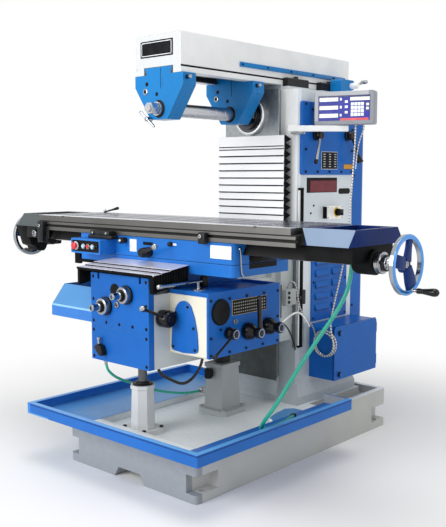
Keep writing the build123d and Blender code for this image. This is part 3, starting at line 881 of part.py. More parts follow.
NODES = {
    "base": make_base,
    "chip_tray": make_chip_tray,
    "column": make_column,
    "rear_cover": make_rear_cover,
    "gear_panel": make_gear_panel,
    "speed_lever_front": lambda: speed_lever(SPEED_FRONT, SPEED_FRONT_TIP, SPEED_FRONT_END),
    "speed_lever_back": lambda: speed_lever(SPEED_BACK, SPEED_BACK_TIP, SPEED_BACK_END),
    "switch_box": make_switch_box,
    "main_switch": make_main_switch,
    "vent_cover": make_vent_cover,
    "tool_box": make_tool_box,
    "tool_box_door": make_tool_box_door,
    "way_cover": make_way_cover,
    "front_post": make_front_post,
    "rear_post": make_rear_post,
    "knee": make_knee,
    "knee_plate": make_knee_plate,
    "knee_cover": make_knee_cover,
    "side_trough": make_side_trough,
    "support_shaft": lambda: rod("z", (POST_END, KNEE_CEILING), (0, POST_Y), SHAFT_R),
    "elevating_screw": lambda: rod("z", (POST_END, KNEE_CEILING), (NUT_X, NUT_Y), SCREW_R),
    "feed_box": make_feed_box,
    "feed_cover": make_feed_cover,
    "feed_lever_front": make_feed_lever_front,
    "feed_lever_middle": make_feed_lever_middle,
    "feed_knob_back": lambda: feed_knob(FEED_BACK_HUB, KNOB_LARGE),
    "side_lever": make_side_lever,
    "cross_feed_shaft": lambda: dial_shaft(DIAL_CROSS),
    "lift_feed_shaft": lambda: dial_shaft(DIAL_LIFT),
    "saddle_clamp": make_saddle_clamp,
    "pump_handle": make_pump_handle,
    "saddle": make_saddle,
    "swivel_housing": make_swivel_housing,
    "control_box": make_control_box,
    "stop_button": make_stop_button,
    "button_left": lambda: push_button(BUTTON_X[0]),
    "button_middle": lambda: push_button(BUTTON_X[1]),
    "button_right": lambda: push_button(BUTTON_X[2]),
    "table_trip_lever": make_table_trip_lever,
    "table": make_table,
    "end_trough": make_end_trough,
    "bearing_right": make_bearing_right,
    "bracket_left": make_bracket_left,
    "lead_screw": lambda: rod("x", (LEAD_LEFT, LEAD_RIGHT), (TABLE_Y, SCREW_Z), LEAD_R),
    "handwheel_right": lambda: handwheel(WHEEL_RIGHT, 1, WHEEL_DIAL),
    "handwheel_left": lambda: handwheel(WHEEL_LEFT, -1, WHEEL_DIAL_SHORT),
    "spindle": make_spindle,
    "arbor": make_arbor,
    "overarm": make_overarm,
    "arbor_support_front": lambda: arbor_support(HANGER_FRONT_Y),
    "arbor_support_rear": lambda: arbor_support(HANGER_REAR_Y),
    "overarm_clamps": make_overarm_clamps,
    "pinion_block": make_pinion_block,
    "pinion_crank": make_pinion_crank,
    "readout_arm": make_readout_arm,
    "readout": make_readout,
    "coolant_hose": lambda: tube(HOSE_ROUTE, HOSE_R),
    "drip_tube": lambda: tube(TUBE_ROUTE, TUBE_R),
    "readout_cable": make_readout_cable,
    "cable_coil": make_cable_coil,
}

os.makedirs("parts", exist_ok=True)
for name, make in NODES.items():
    export_step(make(), f"parts/{name}.step")
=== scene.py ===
from math import cos, pi, radians, sin

import bmesh
import bpy
from mathutils import Matrix, Vector


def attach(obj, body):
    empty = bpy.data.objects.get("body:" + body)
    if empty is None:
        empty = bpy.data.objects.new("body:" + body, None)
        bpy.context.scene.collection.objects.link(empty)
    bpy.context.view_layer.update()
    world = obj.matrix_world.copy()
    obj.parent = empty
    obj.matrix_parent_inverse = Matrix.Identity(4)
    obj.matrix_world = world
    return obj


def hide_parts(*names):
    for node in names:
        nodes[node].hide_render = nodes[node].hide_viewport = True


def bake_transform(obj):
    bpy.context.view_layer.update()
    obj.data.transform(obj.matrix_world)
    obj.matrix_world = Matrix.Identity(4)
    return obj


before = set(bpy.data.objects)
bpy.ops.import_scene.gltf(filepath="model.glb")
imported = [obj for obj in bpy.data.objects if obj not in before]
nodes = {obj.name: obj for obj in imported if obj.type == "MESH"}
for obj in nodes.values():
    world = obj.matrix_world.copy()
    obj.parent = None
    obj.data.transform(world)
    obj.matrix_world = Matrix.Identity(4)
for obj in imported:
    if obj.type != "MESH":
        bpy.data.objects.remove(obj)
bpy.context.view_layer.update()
scene = bpy.context.scene
scene.view_settings.view_transform = "Standard"

# Camera at the place the photograph was taken from, 1.32 m up and to the right of the front.
# Its place, turn and focal length come from the straight edges of the machine in the photograph.
PHOTO_TALL, FOCUS, SENSOR = 527, 814, 36.0
camera_data = bpy.data.cameras.new("camera")
camera_data.lens = SENSOR * FOCUS / PHOTO_TALL
camera = bpy.data.objects.new("camera", camera_data)
camera.location = (2.5912, -2.999, 1.32)
camera.rotation_euler = (radians(90 - 6.16), 0, radians(41.93))
scene.collection.objects.link(camera)
scene.camera = camera


# Floor and light: a plain pale floor that runs out into white, a white sky, and three soft boxes.
# The sky gives even light; the box at the front left makes fronts and tops brighter than the right side.
FLOOR_HALF, FLOOR_SINK, FADE_START, FADE_END = 40.0, 0.0005, 0.9, 2.6


def linear(code):
    """An sRGB hex colour as linear red, green, blue and alpha."""
    parts = [int(code[place:place + 2], 16) / 255 for place in (0, 2, 4)]
    return [part / 12.92 if part <= 0.04045 else ((part + 0.055) / 1.055) ** 2.4 for part in parts] + [1]


def feed(tree, node, inputs):
    """Sets a node's inputs, each to a plain value or to the socket that feeds it."""
    for name, value in inputs.items():
        if isinstance(value, bpy.types.NodeSocket):
            tree.links.new(value, node.inputs[name])
        else:
            node.inputs[name].default_value = value


def add(tree, kind, inputs=None, out=0, **settings):
    """Adds a node with its settings and gives one of its outputs, or all of them for None."""
    node = tree.nodes.new(kind)
    for name, value in settings.items():
        setattr(node, name, value)
    feed(tree, node, inputs or {})
    return node.outputs if out is None else node.outputs[out]


floor_finish = bpy.data.materials.new("matt white studio floor")
floor_finish.use_nodes = True
tree = floor_finish.node_tree
tree.nodes.clear()
place = add(tree, "ShaderNodeTexCoord", out="Object")
reach = add(tree, "ShaderNodeVectorMath", {0: place}, "Value", operation="LENGTH")
fade = add(tree, "ShaderNodeMapRange", {"Value": reach, "From Min": FADE_START, "From Max": FADE_END},
           interpolation_type="SMOOTHSTEP")
matt = add(tree, "ShaderNodeBsdfDiffuse", {"Color": linear("f6f6f6")})
white = add(tree, "ShaderNodeEmission", {"Color": (1, 1, 1, 1), "Strength": 1.0})
both = add(tree, "ShaderNodeMixShader", {0: fade, 1: matt, 2: white})
add(tree, "ShaderNodeOutputMaterial", {"Surface": both}, None)
floor_mesh = bpy.data.meshes.new("floor")
corners = [(side * FLOOR_HALF, end * FLOOR_HALF, -FLOOR_SINK)
           for side, end in ((-1, -1), (1, -1), (1, 1), (-1, 1))]
floor_mesh.from_pydata(corners, [], [(0, 1, 2, 3)])
floor_mesh.materials.append(floor_finish)
floor = bpy.data.objects.new("floor", floor_mesh)
scene.collection.objects.link(floor)

sky = bpy.data.worlds.new("white sky")
scene.world = sky
sky.use_nodes = True
tree = sky.node_tree
tree.nodes.clear()
ray = add(tree, "ShaderNodeLightPath", out=None)
seen = add(tree, "ShaderNodeMath", {0: ray["Is Camera Ray"], 1: ray["Is Glossy Ray"]}, operation="ADD")
seen = add(tree, "ShaderNodeMath", {0: seen, 1: ray["Is Transmission Ray"]}, operation="ADD", use_clamp=True)
even = add(tree, "ShaderNodeBackground", {"Color": linear("fafafa"), "Strength": 0.5})
white = add(tree, "ShaderNodeBackground", {"Color": (1, 1, 1, 1), "Strength": 1.0})
both = add(tree, "ShaderNodeMixShader", {0: seen, 1: even, 2: white})
add(tree, "ShaderNodeOutputWorld", {"Surface": both}, None)


def soft_box(name, place, target, size, watts):
    """A square soft box that faces a point."""
    data = bpy.data.lights.new(name, "AREA")
    data.size = size
    data.energy = watts
    lamp = bpy.data.objects.new(name, data)
    lamp.location = place
    lamp.rotation_euler = (Vector(target) - Vector(place)).to_track_quat("-Z", "Y").to_euler()
    scene.collection.objects.link(lamp)


soft_box("front soft box", (-0.9, -5.2, 2.5), (0, -0.2, 0.9), 3.0, 190)
soft_box("top soft box", (0.6, -0.6, 5.2), (0, 0, 0.8), 2.6, 80)
soft_box("right soft box", (4.6, -0.8, 2.2), (0, 0, 0.9), 2.4, 24)

# Coolant hose: clear green PVC tubing from the right table bracket down to a drain in the chip tray.
# It is pushed on a nipple above and into a drain block below, and hangs free between them.
MM = 0.001
RIGHT, FRONT, UP, DOWN = (1, 0, 0), (0, -1, 0), (0, 0, 1), (0, 0, -1)
HOSE_R, HOSE_SIDES = 8.5, 16
HOSE_ROUTE = ((868, -330, 1003), (866, -334, 905), (822, -350, 800), (738, -371, 672), (650, -398, 525),
              (570, -422, 380), (498, -428, 285), (464, -388, 241), (463, -275, 240), (452, -180, 239.5),
              (428, -114, 239.5))
HOSE_CUTS = (0.0, 0.25, 0.46, 0.58, 1.0)
HOSE_BODIES = ("table", "swivel", "saddle", "knee", "frame")


def spline_line(route, steps=12):
    """Points along the NURBS spline that has the route, in millimetres, as its control points."""
    data = bpy.data.curves.new("route", "CURVE")
    data.dimensions = "3D"
    spline = data.splines.new("NURBS")
    spline.points.add(len(route) - 1)
    for point, spot in zip(spline.points, route):
        point.co = (*(Vector(spot) * MM), 1)
    spline.order_u = 3
    spline.use_endpoint_u = True
    spline.resolution_u = steps
    holder = bpy.data.objects.new("route", data)
    mesh = bpy.data.meshes.new_from_object(holder)
    line = [vertex.co.copy() for vertex in mesh.vertices]
    bpy.data.objects.remove(holder)
    bpy.data.curves.remove(data)
    bpy.data.meshes.remove(mesh)
    return line


def swept(form, line, radius, sides):
    """Adds a tube along a line in metres, with a UV map of turn and distance along."""
    along = form.loops.layers.uv.verify()
    ways = [(there - here).normalized() for here, there in zip(line, line[1:])]
    ways = [ways[0]] + [(a + b).normalized() for a, b in zip(ways, ways[1:])] + [ways[-1]]
    across = ways[0].orthogonal().normalized()
    rings = []
    gone = [0.0]
    for index, (spot, way) in enumerate(zip(line, ways)):
        across = (across - way * across.dot(way)).normalized()
        up = way.cross(across)
        turns = [2 * pi * side / sides for side in range(sides)]
        rings.append([form.verts.new(spot + (across * cos(t) + up * sin(t)) * radius * MM) for t in turns])
        if index:
            gone.append(gone[-1] + (spot - line[index - 1]).length)
    for index, (low, high) in enumerate(zip(rings, rings[1:])):
        for side in range(sides):
            after = (side + 1) % sides
            face = form.faces.new((low[side], low[after], high[after], high[side]))
            marks = ((side, index), (side + 1, index), (side + 1, index + 1), (side, index + 1))
            for loop, (u, v) in zip(face.loops, marks):
                loop[along].uv = (u / sides, gone[v])
    form.faces.new(list(reversed(rings[0])))
    form.faces.new(rings[-1])


def aim(way):
    """The turn that brings +Z to a way."""
    return Vector(UP).rotation_difference(Vector(way))


def turned(form, start, way, outline, sides=32, ring=False):
    """Adds a turned shape; the outline gives (distance along the axis, radius) in millimetres."""
    turn = aim(way).to_matrix()
    rings = []
    for along, radius in outline:
        spots = [Vector((radius * cos(2 * pi * side / sides), radius * sin(2 * pi * side / sides), along))
                 for side in range(sides)]
        rings.append([form.verts.new((Vector(start) + turn @ spot) * MM) for spot in spots])
    if ring:
        rings.append(rings[0])
    for low, high in zip(rings, rings[1:]):
        for side in range(sides):
            after = (side + 1) % sides
            form.faces.new((low[side], low[after], high[after], high[side]))
    if not ring:
        form.faces.new(list(reversed(rings[0])))
        form.faces.new(rings[-1])


def round_edges(form, corners, edge, steps):
    """Rounds the edges that meet at corners."""
    edges = list(dict.fromkeys(line for corner in corners for line in corner.link_edges))
    bmesh.ops.bevel(form, geom=edges, offset=edge * MM, segments=steps, profile=0.5, affect="EDGES",
                    clamp_overlap=True)


def slab(form, low, high, edge=0.0, steps=2):
    """Adds a block between two corners in millimetres, with rounded edges."""
    low, high = Vector(low), Vector(high)
    seat = Matrix.Translation((low + high) / 2 * MM) @ Matrix.Diagonal((*((high - low) * MM), 1))
    corners = bmesh.ops.create_cube(form, size=1, matrix=seat)["verts"]
    if edge:
        round_edges(form, corners, edge, steps)


def piece(name, form, finish, body=None, stands_for=()):
    """Makes a finished piece from a form; it rides on a body where one is given."""
    if isinstance(form, bmesh.types.BMesh):
        mesh = bpy.data.meshes.new(name)
        form.to_mesh(mesh)
        form.free()
        mesh.materials.append(finish)
    else:
        mesh = form
        mesh.name = name
    mesh.shade_smooth()
    mesh.set_sharp_from_angle(angle=radians(34))
    made = bpy.data.objects.new(name, mesh)
    scene.collection.objects.link(made)
    if body:
        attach(made, body)
    if stands_for:
        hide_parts(*stands_for)
    return made


def shaped(*shapes):
    """A form made from shapes, each a shape function followed by its values."""
    form = bmesh.new()
    for shape, *values in shapes:
        shape(form, *values)
    return form


def build(name, finish, body, slot, *shapes, stands_for=()):
    """Makes one piece from shapes, each a shape function followed by its values."""
    return piece(name, shaped(*shapes), finish, body, stands_for)


def lay_cord(name, run, radius, sides, finish, bodies, slot, stands_for=(), **ends):
    """A cord along a line in metres, carried by one body where both are the same, and by none where they
    differ.
    """
    still = bodies[0] == bodies[1]
    part = build(name, finish, bodies[0] if still else None, slot, (swept, run, radius, sides),
                 stands_for=stands_for)
    if not still:
        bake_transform(part)


def stretch_of(line, start, end):
    """The stretch of a line between two shares of its points."""
    last = len(line) - 1
    return line[round(start * last):round(end * last) + 1]


def new_finish(name, coordinates):
    """A new material with its node tree and the coordinates that its patterns follow."""
    finish = bpy.data.materials.new(name)
    finish.use_nodes = True
    return finish, finish.node_tree, add(finish.node_tree, "ShaderNodeTexCoord", out=coordinates)


def shaded(finish, inputs):
    """Sets inputs of a material's shader and gives the material."""
    feed(finish.node_tree, finish.node_tree.nodes["Principled BSDF"], inputs)
    return finish


def reckon(tree, operation, *values):
    """One sum on sockets and plain values."""
    return add(tree, "ShaderNodeMath", dict(enumerate(values)), operation=operation)


def noise(tree, place, scale, detail):
    """Soft noise over coordinates."""
    return add(tree, "ShaderNodeTexNoise", {"Vector": place, "Scale": scale, "Detail": detail})


def spread(tree, value, low, high, start=0.0, end=1.0):
    """A value whose span from start to end is brought to a span from low to high."""
    return add(tree, "ShaderNodeMapRange", {"Value": value, "From Min": start, "From Max": end,
                                            "To Min": low, "To Max": high})


def mixed(tree, share, first, second):
    """A colour between two others."""
    return add(tree, "ShaderNodeMix", {0: share, 6: first, 7: second}, 2, data_type="RGBA")


def bumped(tree, height, strength, distance, **normal):
    """A normal with relief, on top of a softened normal where one is given."""
    inputs = {"Height": height, "Strength": strength, "Distance": distance, **normal}
    return add(tree, "ShaderNodeBump", inputs)


def toned(colour, share, lift=0.0):
    """A colour made darker or paler by a share."""
    return [part * share + lift for part in colour[:3]] + [1]


def tubing(name, colour, deep, rough, streak):
    """Extruded clear PVC: a deeper tone in drifts along it, a little light through it, fine draw lines."""
    finish, tree, along = new_finish(name, "UV")
    stretched = add(tree, "ShaderNodeMapping", {"Vector": along, "Scale": (6, 1000 / streak, 1)})
    tone = mixed(tree, noise(tree, stretched, 1.0, 3), linear(deep), linear(colour))
    lines = add(tree, "ShaderNodeMapping", {"Vector": along, "Scale": (40, 8, 1)})
    drawn = noise(tree, lines, 1.0, 2)
    dull = spread(tree, drawn, rough * 0.8, rough * 1.4)
    bump = bumped(tree, drawn, 0.15, 0.0004)
    return shaded(finish, {"Base Color": tone, "Roughness": dull, "Normal": bump, "IOR": 1.53,
                           "Subsurface Weight": 0.2, "Subsurface Scale": 0.004})


def bare_metal(name, colour, rough, lay, marks=1.5, relief=0.1, stain=0.85):
    """Machined metal: tool marks across the lay, patches of dulled and brighter metal, softened edges."""
    finish, tree, place = new_finish(name, "Object")
    metal = linear(colour)
    patch = noise(tree, place, 9.0, 4)
    scale = [1000 / marks if way else 4.0 for way in lay]
    lined = add(tree, "ShaderNodeMapping", {"Vector": place, "Scale": scale})
    tool = noise(tree, lined, 1.0, 2)
    tone = mixed(tree, reckon(tree, "ADD", patch, tool), toned(metal, stain), metal)
    dull = spread(tree, patch, rough * 0.7, rough * 1.4)
    soft_normal = add(tree, "ShaderNodeBevel", {"Radius": 0.0015}, samples=4)
    bump = bumped(tree, tool, relief, 0.0004, Normal=soft_normal)
    return shaded(finish, {"Base Color": tone, "Roughness": dull, "Normal": bump, "Metallic": 1.0})


def moulded(name, colour, rough=0.35, grain=3.0, relief=0.08, shine=0.5):
    """Moulded plastic or black-coated metal: even colour, a fine pebble, patches paler from handling."""
    finish, tree, place = new_finish(name, "Object")
    skin = linear(colour)
    wear = noise(tree, place, 25.0, 4)
    tone = mixed(tree, spread(tree, wear, 0.0, 1.0, 0.45, 0.75), skin, toned(skin, 1.35, 0.006))
    dull = spread(tree, wear, rough * 0.75, rough * 1.3)
    bump = bumped(tree, noise(tree, place, 1000 / grain, 1), relief, 0.0005)
    return shaded(finish, {"Base Color": tone, "Roughness": dull, "Normal": bump, "IOR": 1.49,
                           "Specular IOR Level": shine})


# Clear green PVC: bright teal with deeper drifts along it, and a little light through it
green_pvc = tubing("clear green PVC hose", "27b598", "0f8577", 0.25, 120)
# Black oxide on steel: near black with a dull satin shine
black_steel = moulded("black oxide steel", "131416", 0.42, shine=0.25)
# Turned bright steel: pale grey metal with fine rings
bright_steel = bare_metal("turned bright steel", "a9abad", 0.22, (1, 1, 1), 2.5, 0.05)

hose_line = spline_line(HOSE_ROUTE)
NIPPLE_R, NIPPLE_TALL, DRAIN_HALF, DRAIN_LONG, DRAIN_TOP, TRAY_TOP = 14.0, 22.0, 10.0, 12.0, 249.0, 230.2
x, y, z = HOSE_ROUTE[0]
build("hose_nipple", bright_steel, "table", "steel",
      (turned, (x, y, z + 0.8), DOWN,
       ((0, NIPPLE_R), (8, NIPPLE_R), (9, 11.0), (NIPPLE_TALL, 9.6)), 24))
x, y, z = HOSE_ROUTE[-1]
drain = build("hose_drain", black_steel, "frame", "black_plastic",
              (slab, (x - DRAIN_HALF, y - 4, TRAY_TOP), (x + DRAIN_HALF, y + DRAIN_LONG, DRAIN_TOP), 4, 3),
              (turned, (x, y - 3, z), FRONT, ((0, 11), (10, 10.4), (12, 9.2)), 24))
for index, (start, end) in enumerate(zip(HOSE_CUTS, HOSE_CUTS[1:])):
    ends = {"far_end": "fitting", "with_pieces": [drain]} if end == 1.0 else {}
    lay_cord(f"coolant_hose_{index + 1}", stretch_of(hose_line, start, end), HOSE_R, HOSE_SIDES, green_pvc,
             HOSE_BODIES[index:index + 2], "hose", ("coolant_hose",), **ends)

# Drip tube: thin green PVC from the knee's underside to the front of the rear post.
# It is pushed on a nipple at each end and sags between them.
TUBE_R, TUBE_SIDES = 6.0, 12
TUBE_ROUTE = ((-112, -752, 523), (-112, -752, 488), (-108, -722, 452), (-107, -678, 424), (-103, -615, 396),
              (-99, -545, 364), (-87, -475, 336), (-70, -405, 315), (-50, -338, 302), (-36, -280, 298),
              (-36, -232, 298))
# Thin-walled green PVC: paler than the hose, because less of it is looked through
pale_pvc = tubing("thin green PVC tube", "2fc7ab", "1aa48b", 0.28, 90)
lay_cord("drip_tube_line", spline_line(TUBE_ROUTE), TUBE_R, TUBE_SIDES, pale_pvc, ("knee", "frame"),
         "clear_tube", ("drip_tube",))
TUBE_NIPPLE = ((0, 11), (6, 11), (7, 7.5), (20, 6.9))
build("drip_nipple_knee", bright_steel, "knee", "steel",
      (turned, (*TUBE_ROUTE[0][:2], 523.5), DOWN, TUBE_NIPPLE, 20))
build("drip_nipple_post", bright_steel, "frame", "steel",
      (turned, (-36, -231.5, 298), FRONT, TUBE_NIPPLE, 20))

# Readout cable: armoured sensor cable that leaves the readout's underside, hangs past the gear panel
# and is wound in a loose coil in front of the tool box; a second strand joins it below the arm.
CABLE_R, CABLE_SIDES = 4.0, 12
CABLE_ROUTE = ((462, 306, 1557), (462, 306, 1485), (450, 313, 1390), (446, 310, 1285), (439, 309, 1178),
               (436, 301, 1070), (426, 294, 965), (415, 280, 865), (402, 263, 770), (395, 240, 685))
COIL_X, COIL_Z, COIL_R, COIL_FRONT, COIL_PITCH = 353.0, 505.0, 62.0, 219.0, 9.2
COIL_START, COIL_END, COIL_STEPS, COIL_LEAD, CABLE_LAST_RUN, COIL_LOOSE = 15.0, -900.0, 34, 8.0, 75.0, 5.0
CABLE_CUTS = (0.0, 0.1, 0.24, 1.0)
CABLE_BODIES = ("readout", "readout_arm", "frame", "frame")


def coil_point(turn):
    """A point on the coil at an angle; the turns go back as they wind and differ a little in size."""
    back = COIL_FRONT + COIL_PITCH * (COIL_START - turn) / 360
    wide = COIL_R + COIL_LOOSE * sin(radians(turn) * 0.43)
    return Vector((COIL_X + wide * cos(radians(turn)), back, COIL_Z + wide * sin(radians(turn))))


def armoured(name, colour, gap, pitch):
    """Spiral-wound armoured cable: pale wound strip with a dark line in each turn of the spiral."""
    finish, tree, along = new_finish(name, "UV")
    split = add(tree, "ShaderNodeSeparateXYZ", {0: along}, None)
    turns = reckon(tree, "MULTIPLY_ADD", split["Y"], 1000 / pitch, split["X"])
    ridge = spread(tree, reckon(tree, "PINGPONG", turns, 1.0), 0.0, 1.0, 0.1, 0.45)
    tone = mixed(tree, ridge, linear(gap), linear(colour))
    dull = spread(tree, ridge, 0.6, 0.32)
    bump = bumped(tree, ridge, 0.6, 0.0008)
    return shaded(finish, {"Base Color": tone, "Roughness": dull, "Normal": bump, "Metallic": 0.55})


# Armoured cable in galvanised strip; the real spiral is 3 mm, drawn at 7 mm so that it shows
cable_finish = armoured("galvanised armoured cable", "cfcfcd", "5a5652", 7.0)
first = coil_point(COIL_START)
way = Vector((sin(radians(COIL_START)), 0, -cos(radians(COIL_START))))
lead = first - way * COIL_LEAD
coil_turns = [COIL_START + (COIL_END - COIL_START) * step / COIL_STEPS for step in range(COIL_STEPS + 1)]
last = coil_point(COIL_END)
cable_points = CABLE_ROUTE + (tuple(lead - way * CABLE_LAST_RUN), tuple(lead))
cable_points += tuple(tuple(coil_point(turn)) for turn in coil_turns)
cable_points += (tuple(last + Vector((0, 0, COIL_LEAD))),)
cable_line = spline_line(cable_points, 8)
for index, (start, end) in enumerate(zip(CABLE_CUTS, CABLE_CUTS[1:])):
    at_coil = end == 1.0
    lay_cord(f"readout_cable_{index + 1}", stretch_of(cable_line, start, end), CABLE_R, CABLE_SIDES,
             cable_finish, CABLE_BODIES[index:index + 2], "hose",
             ("readout_cable", "cable_coil") if at_coil else ("readout_cable",),
             lay="coiled" if at_coil else "hanging")

# Sensor cables of the vertical scale: one from the coil's end to the reading head on the knee,
# two from the feed box to the column; they hang in slack loops beside the column.
HEAD_ROUTE = ((291, 243, 513), (290, 244, 545), (288, 226, 585), (284, 170, 632), (282, 128, 678),
              (281, 108, 740), (280, 96, 800), (272, 80, 822), (252, 74, 812), (240, 73, 771))
LOOP_ROUTE = ((292, -192, 660), (293, -120, 628), (292, -30, 636), (289, 50, 667), (286, 112, 672),
              (288, 160, 636), (286, 200, 588))
LOW_ROUTE = ((318, -192, 690), (316, -120, 668), (306, -20, 632), (294, 40, 574), (276, 92, 512),
             (256, 128, 480), (232, 150, 472))
lay_cord("head_cable", spline_line(HEAD_ROUTE), 3.5, CABLE_SIDES, cable_finish, ("frame", "knee"), "hose")
# Black PVC sheath: dark, smooth and slightly glossy
black_sheath = moulded("black PVC sheath", "111215", 0.35, shine=0.25)
# Pale grey PVC sheath: nearly white, with a soft gloss
pale_sheath = moulded("pale grey PVC sheath", "eceeec", 0.35, shine=0.25)
lay_cord("loop_cable", spline_line(LOOP_ROUTE), 4.5, CABLE_SIDES, pale_sheath, ("knee", "frame"), "hose")
lay_cord("low_cable", spline_line(LOW_ROUTE), 3.5, CABLE_SIDES, black_sheath, ("knee", "frame"), "hose")
STRAND_ROUTE = ((510, 305, 1557), (508, 306, 1532), (490, 307, 1500), (471, 312, 1440), (462, 318, 1395),
                (460, 316, 1352))
lay_cord("second_strand", spline_line(STRAND_ROUTE), 3.0, CABLE_SIDES, cable_finish,
         ("readout", "readout_arm"), "hose")

# Conduit: dark flexible conduit from the knee's underside up into the feed box.
# It hangs in a loop below the feed box.
CONDUIT_ROUTE = ((168, -704, 523), (170, -702, 500), (182, -645, 463), (189, -583, 432), (192, -528, 445),
                 (197, -488, 482), (201, -468, 530), (202, -466, 583))
# Spiral conduit with a dark PVC skin; the spiral is drawn at 8 mm so that it shows
conduit_finish = armoured("dark spiral conduit", "3b3632", "1c1917", 8.0)
lay_cord("feed_conduit", spline_line(CONDUIT_ROUTE), 6.5, CABLE_SIDES, conduit_finish, ("knee", "knee"),
         "hose")


def dress(finish, *names):
    """Gives CAD nodes a finish."""
    for name in names:
        for place in nodes[name].material_slots:
            place.material = finish


def fed_by(socket):
    """What an input has now: the socket that feeds it, or its own value."""
    return socket.links[0].from_socket if socket.is_linked else socket.default_value


def second_tone(finish, zones, deep, colour, rough, metal):
    """Gives a finish a second tone inside zones, each a set of spans along X, Y and Z in millimetres."""
    tree = finish.node_tree
    place = add(tree, "ShaderNodeTexCoord", out="Object")
    axes = add(tree, "ShaderNodeSeparateXYZ", {0: place}, None)
    mask = 0.0
    for zone in zones:
        inside = 1.0
        for axis, (low, high) in zone.items():
            within = reckon(tree, "COMPARE", axes[axis], (low + high) / 2 * MM, (high - low) / 2 * MM)
            inside = reckon(tree, "MULTIPLY", inside, within)
        mask = reckon(tree, "MAXIMUM", mask, inside)
    tone = mixed(tree, noise(tree, place, 45.0, 2), linear(deep), linear(colour))
    given = tree.nodes["Principled BSDF"].inputs
    paint, gloss, sheen = [fed_by(given[name]) for name in ("Base Color", "Roughness", "Metallic")]
    shaded(finish, {"Base Color": mixed(tree, mask, paint, tone),
                    "Roughness": add(tree, "ShaderNodeMix", {0: mask, 2: gloss, 3: rough}),
                    "Metallic": add(tree, "ShaderNodeMix", {0: mask, 2: sheen, 3: metal})})


def plate(form, axis, span, outline, edge=0.0, steps=2):
    """Adds a plate: an outline across an axis, in millimetres, with its thickness along the axis."""
    spots = {"x": lambda t, a, b: (t, a, b), "y": lambda t, a, b: (a, t, b), "z": lambda t, a, b: (a, b, t)}
    low = [form.verts.new(Vector(spots[axis](span[0], a, b)) * MM) for a, b in outline]
    high = [form.verts.new(Vector(spots[axis](span[1], a, b)) * MM) for a, b in outline]
    faces = [form.faces.new(low), form.faces.new(high)]
    for here in range(len(outline)):
        there = (here + 1) % len(outline)
        faces.append(form.faces.new((low[here], low[there], high[there], high[here])))
    bmesh.ops.recalc_face_normals(form, faces=faces)
    if edge:
        round_edges(form, low + high, edge, steps)


def enamel(name, colour, rough=0.3, grain=7.0, relief=0.12, edge_wear_and_highlight="c8ccd0", edge_reach=0.35, shine=0.5):
    """Sprayed machine enamel: slow drifts of tone, faint orange peel, edges paler from wear and painted
    highlight.
    """
    finish, tree, place = new_finish(name, "Object")
    paint = linear(colour)
    drift = spread(tree, noise(tree, place, 3.5, 4), 0.0, 1.0, 0.35, 0.6)
    tone = mixed(tree, drift, toned(paint, 0.88), paint)
    soft_normal = add(tree, "ShaderNodeBevel", {"Radius": 0.0025}, samples=4)
    flat_normal = add(tree, "ShaderNodeNewGeometry", out="Normal")
    facing = add(tree, "ShaderNodeVectorMath", {0: soft_normal, 1: flat_normal}, "Value",
                 operation="DOT_PRODUCT")
    chips = noise(tree, place, 40.0, 3)
    # Edges are painted paler, partly as wear and partly as a painted highlight
    edge = reckon(tree, "MULTIPLY", spread(tree, facing, 0.0, edge_reach, 0.98, 0.85), chips)
    tone = mixed(tree, edge, tone, linear(edge_wear_and_highlight))
    dull = spread(tree, chips, rough * 0.75, rough * 1.35)
    bump = bumped(tree, noise(tree, place, 1000 / grain, 2), relief, 0.0008, Normal=soft_normal)
    return shaded(finish, {"Base Color": tone, "Roughness": dull, "Normal": bump, "IOR": 1.5,
                           "Specular IOR Level": shine})


# Grey enamel over a blasted casting: matt, with the casting's grain drawn at 12 mm so that it shows
base_grey = enamel("grey enamel on cast iron", "bfc1be", 0.5, 12.0, 0.3, "d5d8da", 0.3)
# Blue enamel on sheet and castings: clean mid blue with a soft gloss
machine_blue = enamel("mid blue machine enamel", "1964ba", 0.3, edge_wear_and_highlight="6fb0f0", edge_reach=0.8, shine=0.13)
# Blue enamel on thin sheet: a lighter copy of the blue, painted light for a sheet that faces up
trough_blue = enamel("blue sheet enamel with painted light", "5293cf", 0.34, edge_wear_and_highlight="a5c8f2", edge_reach=0.8, shine=0.3)
# Blue enamel on the tray: the mid blue, with a line of painted shade under the folded rim
tray_blue = enamel("folded blue tray enamel", "1f6ac0", 0.3, edge_wear_and_highlight="6fb0f0", edge_reach=0.8, shine=0.2)
TRAY_X, TRAY_FRONT, TRAY_BACK, TRAY_FLOOR, TRAY_RIM = 544.0, -864.0, 186.0, 230.0, 275.0
RIM_SHADE_Z = (266.0, 271.5)
rim_shade_lines = [{"X": (side * TRAY_X - 1, side * TRAY_X + 1), "Z": RIM_SHADE_Z} for side in (-1, 1)]
rim_shade_lines += [{"Y": (TRAY_FRONT - 1, TRAY_FRONT + 1), "Z": RIM_SHADE_Z}]
second_tone(tray_blue, rim_shade_lines, "0a3a7c", "0d4288", 0.4, 0.0)
# The rear end wall takes the base's grey; painted light makes the floor and left wall paler where light from
# the left meets them
second_tone(tray_blue, [{"X": (390, 543), "Y": (140, 190), "Z": (231, 274)}], "a9adae", "b5b9b9", 0.5, 0.0)
lit_floor = [{"X": (-542, -388), "Z": (224, 231)}, {"X": (-389, -200), "Y": (-860, -706), "Z": (224, 231)}]
second_tone(tray_blue, lit_floor, "4c8fd2", "5c9dda", 0.4, 0.0)
second_tone(tray_blue, [{"X": (-541.5, -526), "Z": (231, 273)}], "2f7cd4", "3f8ce0", 0.4, 0.0)
# Painted shade darkens the base's front face, and painted light makes it nearly white on top
second_tone(base_grey, [{"Y": (-730, -690), "Z": (0, 199)}], "8e9399", "9a9fa4", 0.5, 0.0)
second_tone(base_grey, [{"Z": (199, 231.4)}], "e0e7ea", "f2f6f8", 0.5, 0.0)
dress(base_grey, "base")
dress(tray_blue, "chip_tray")
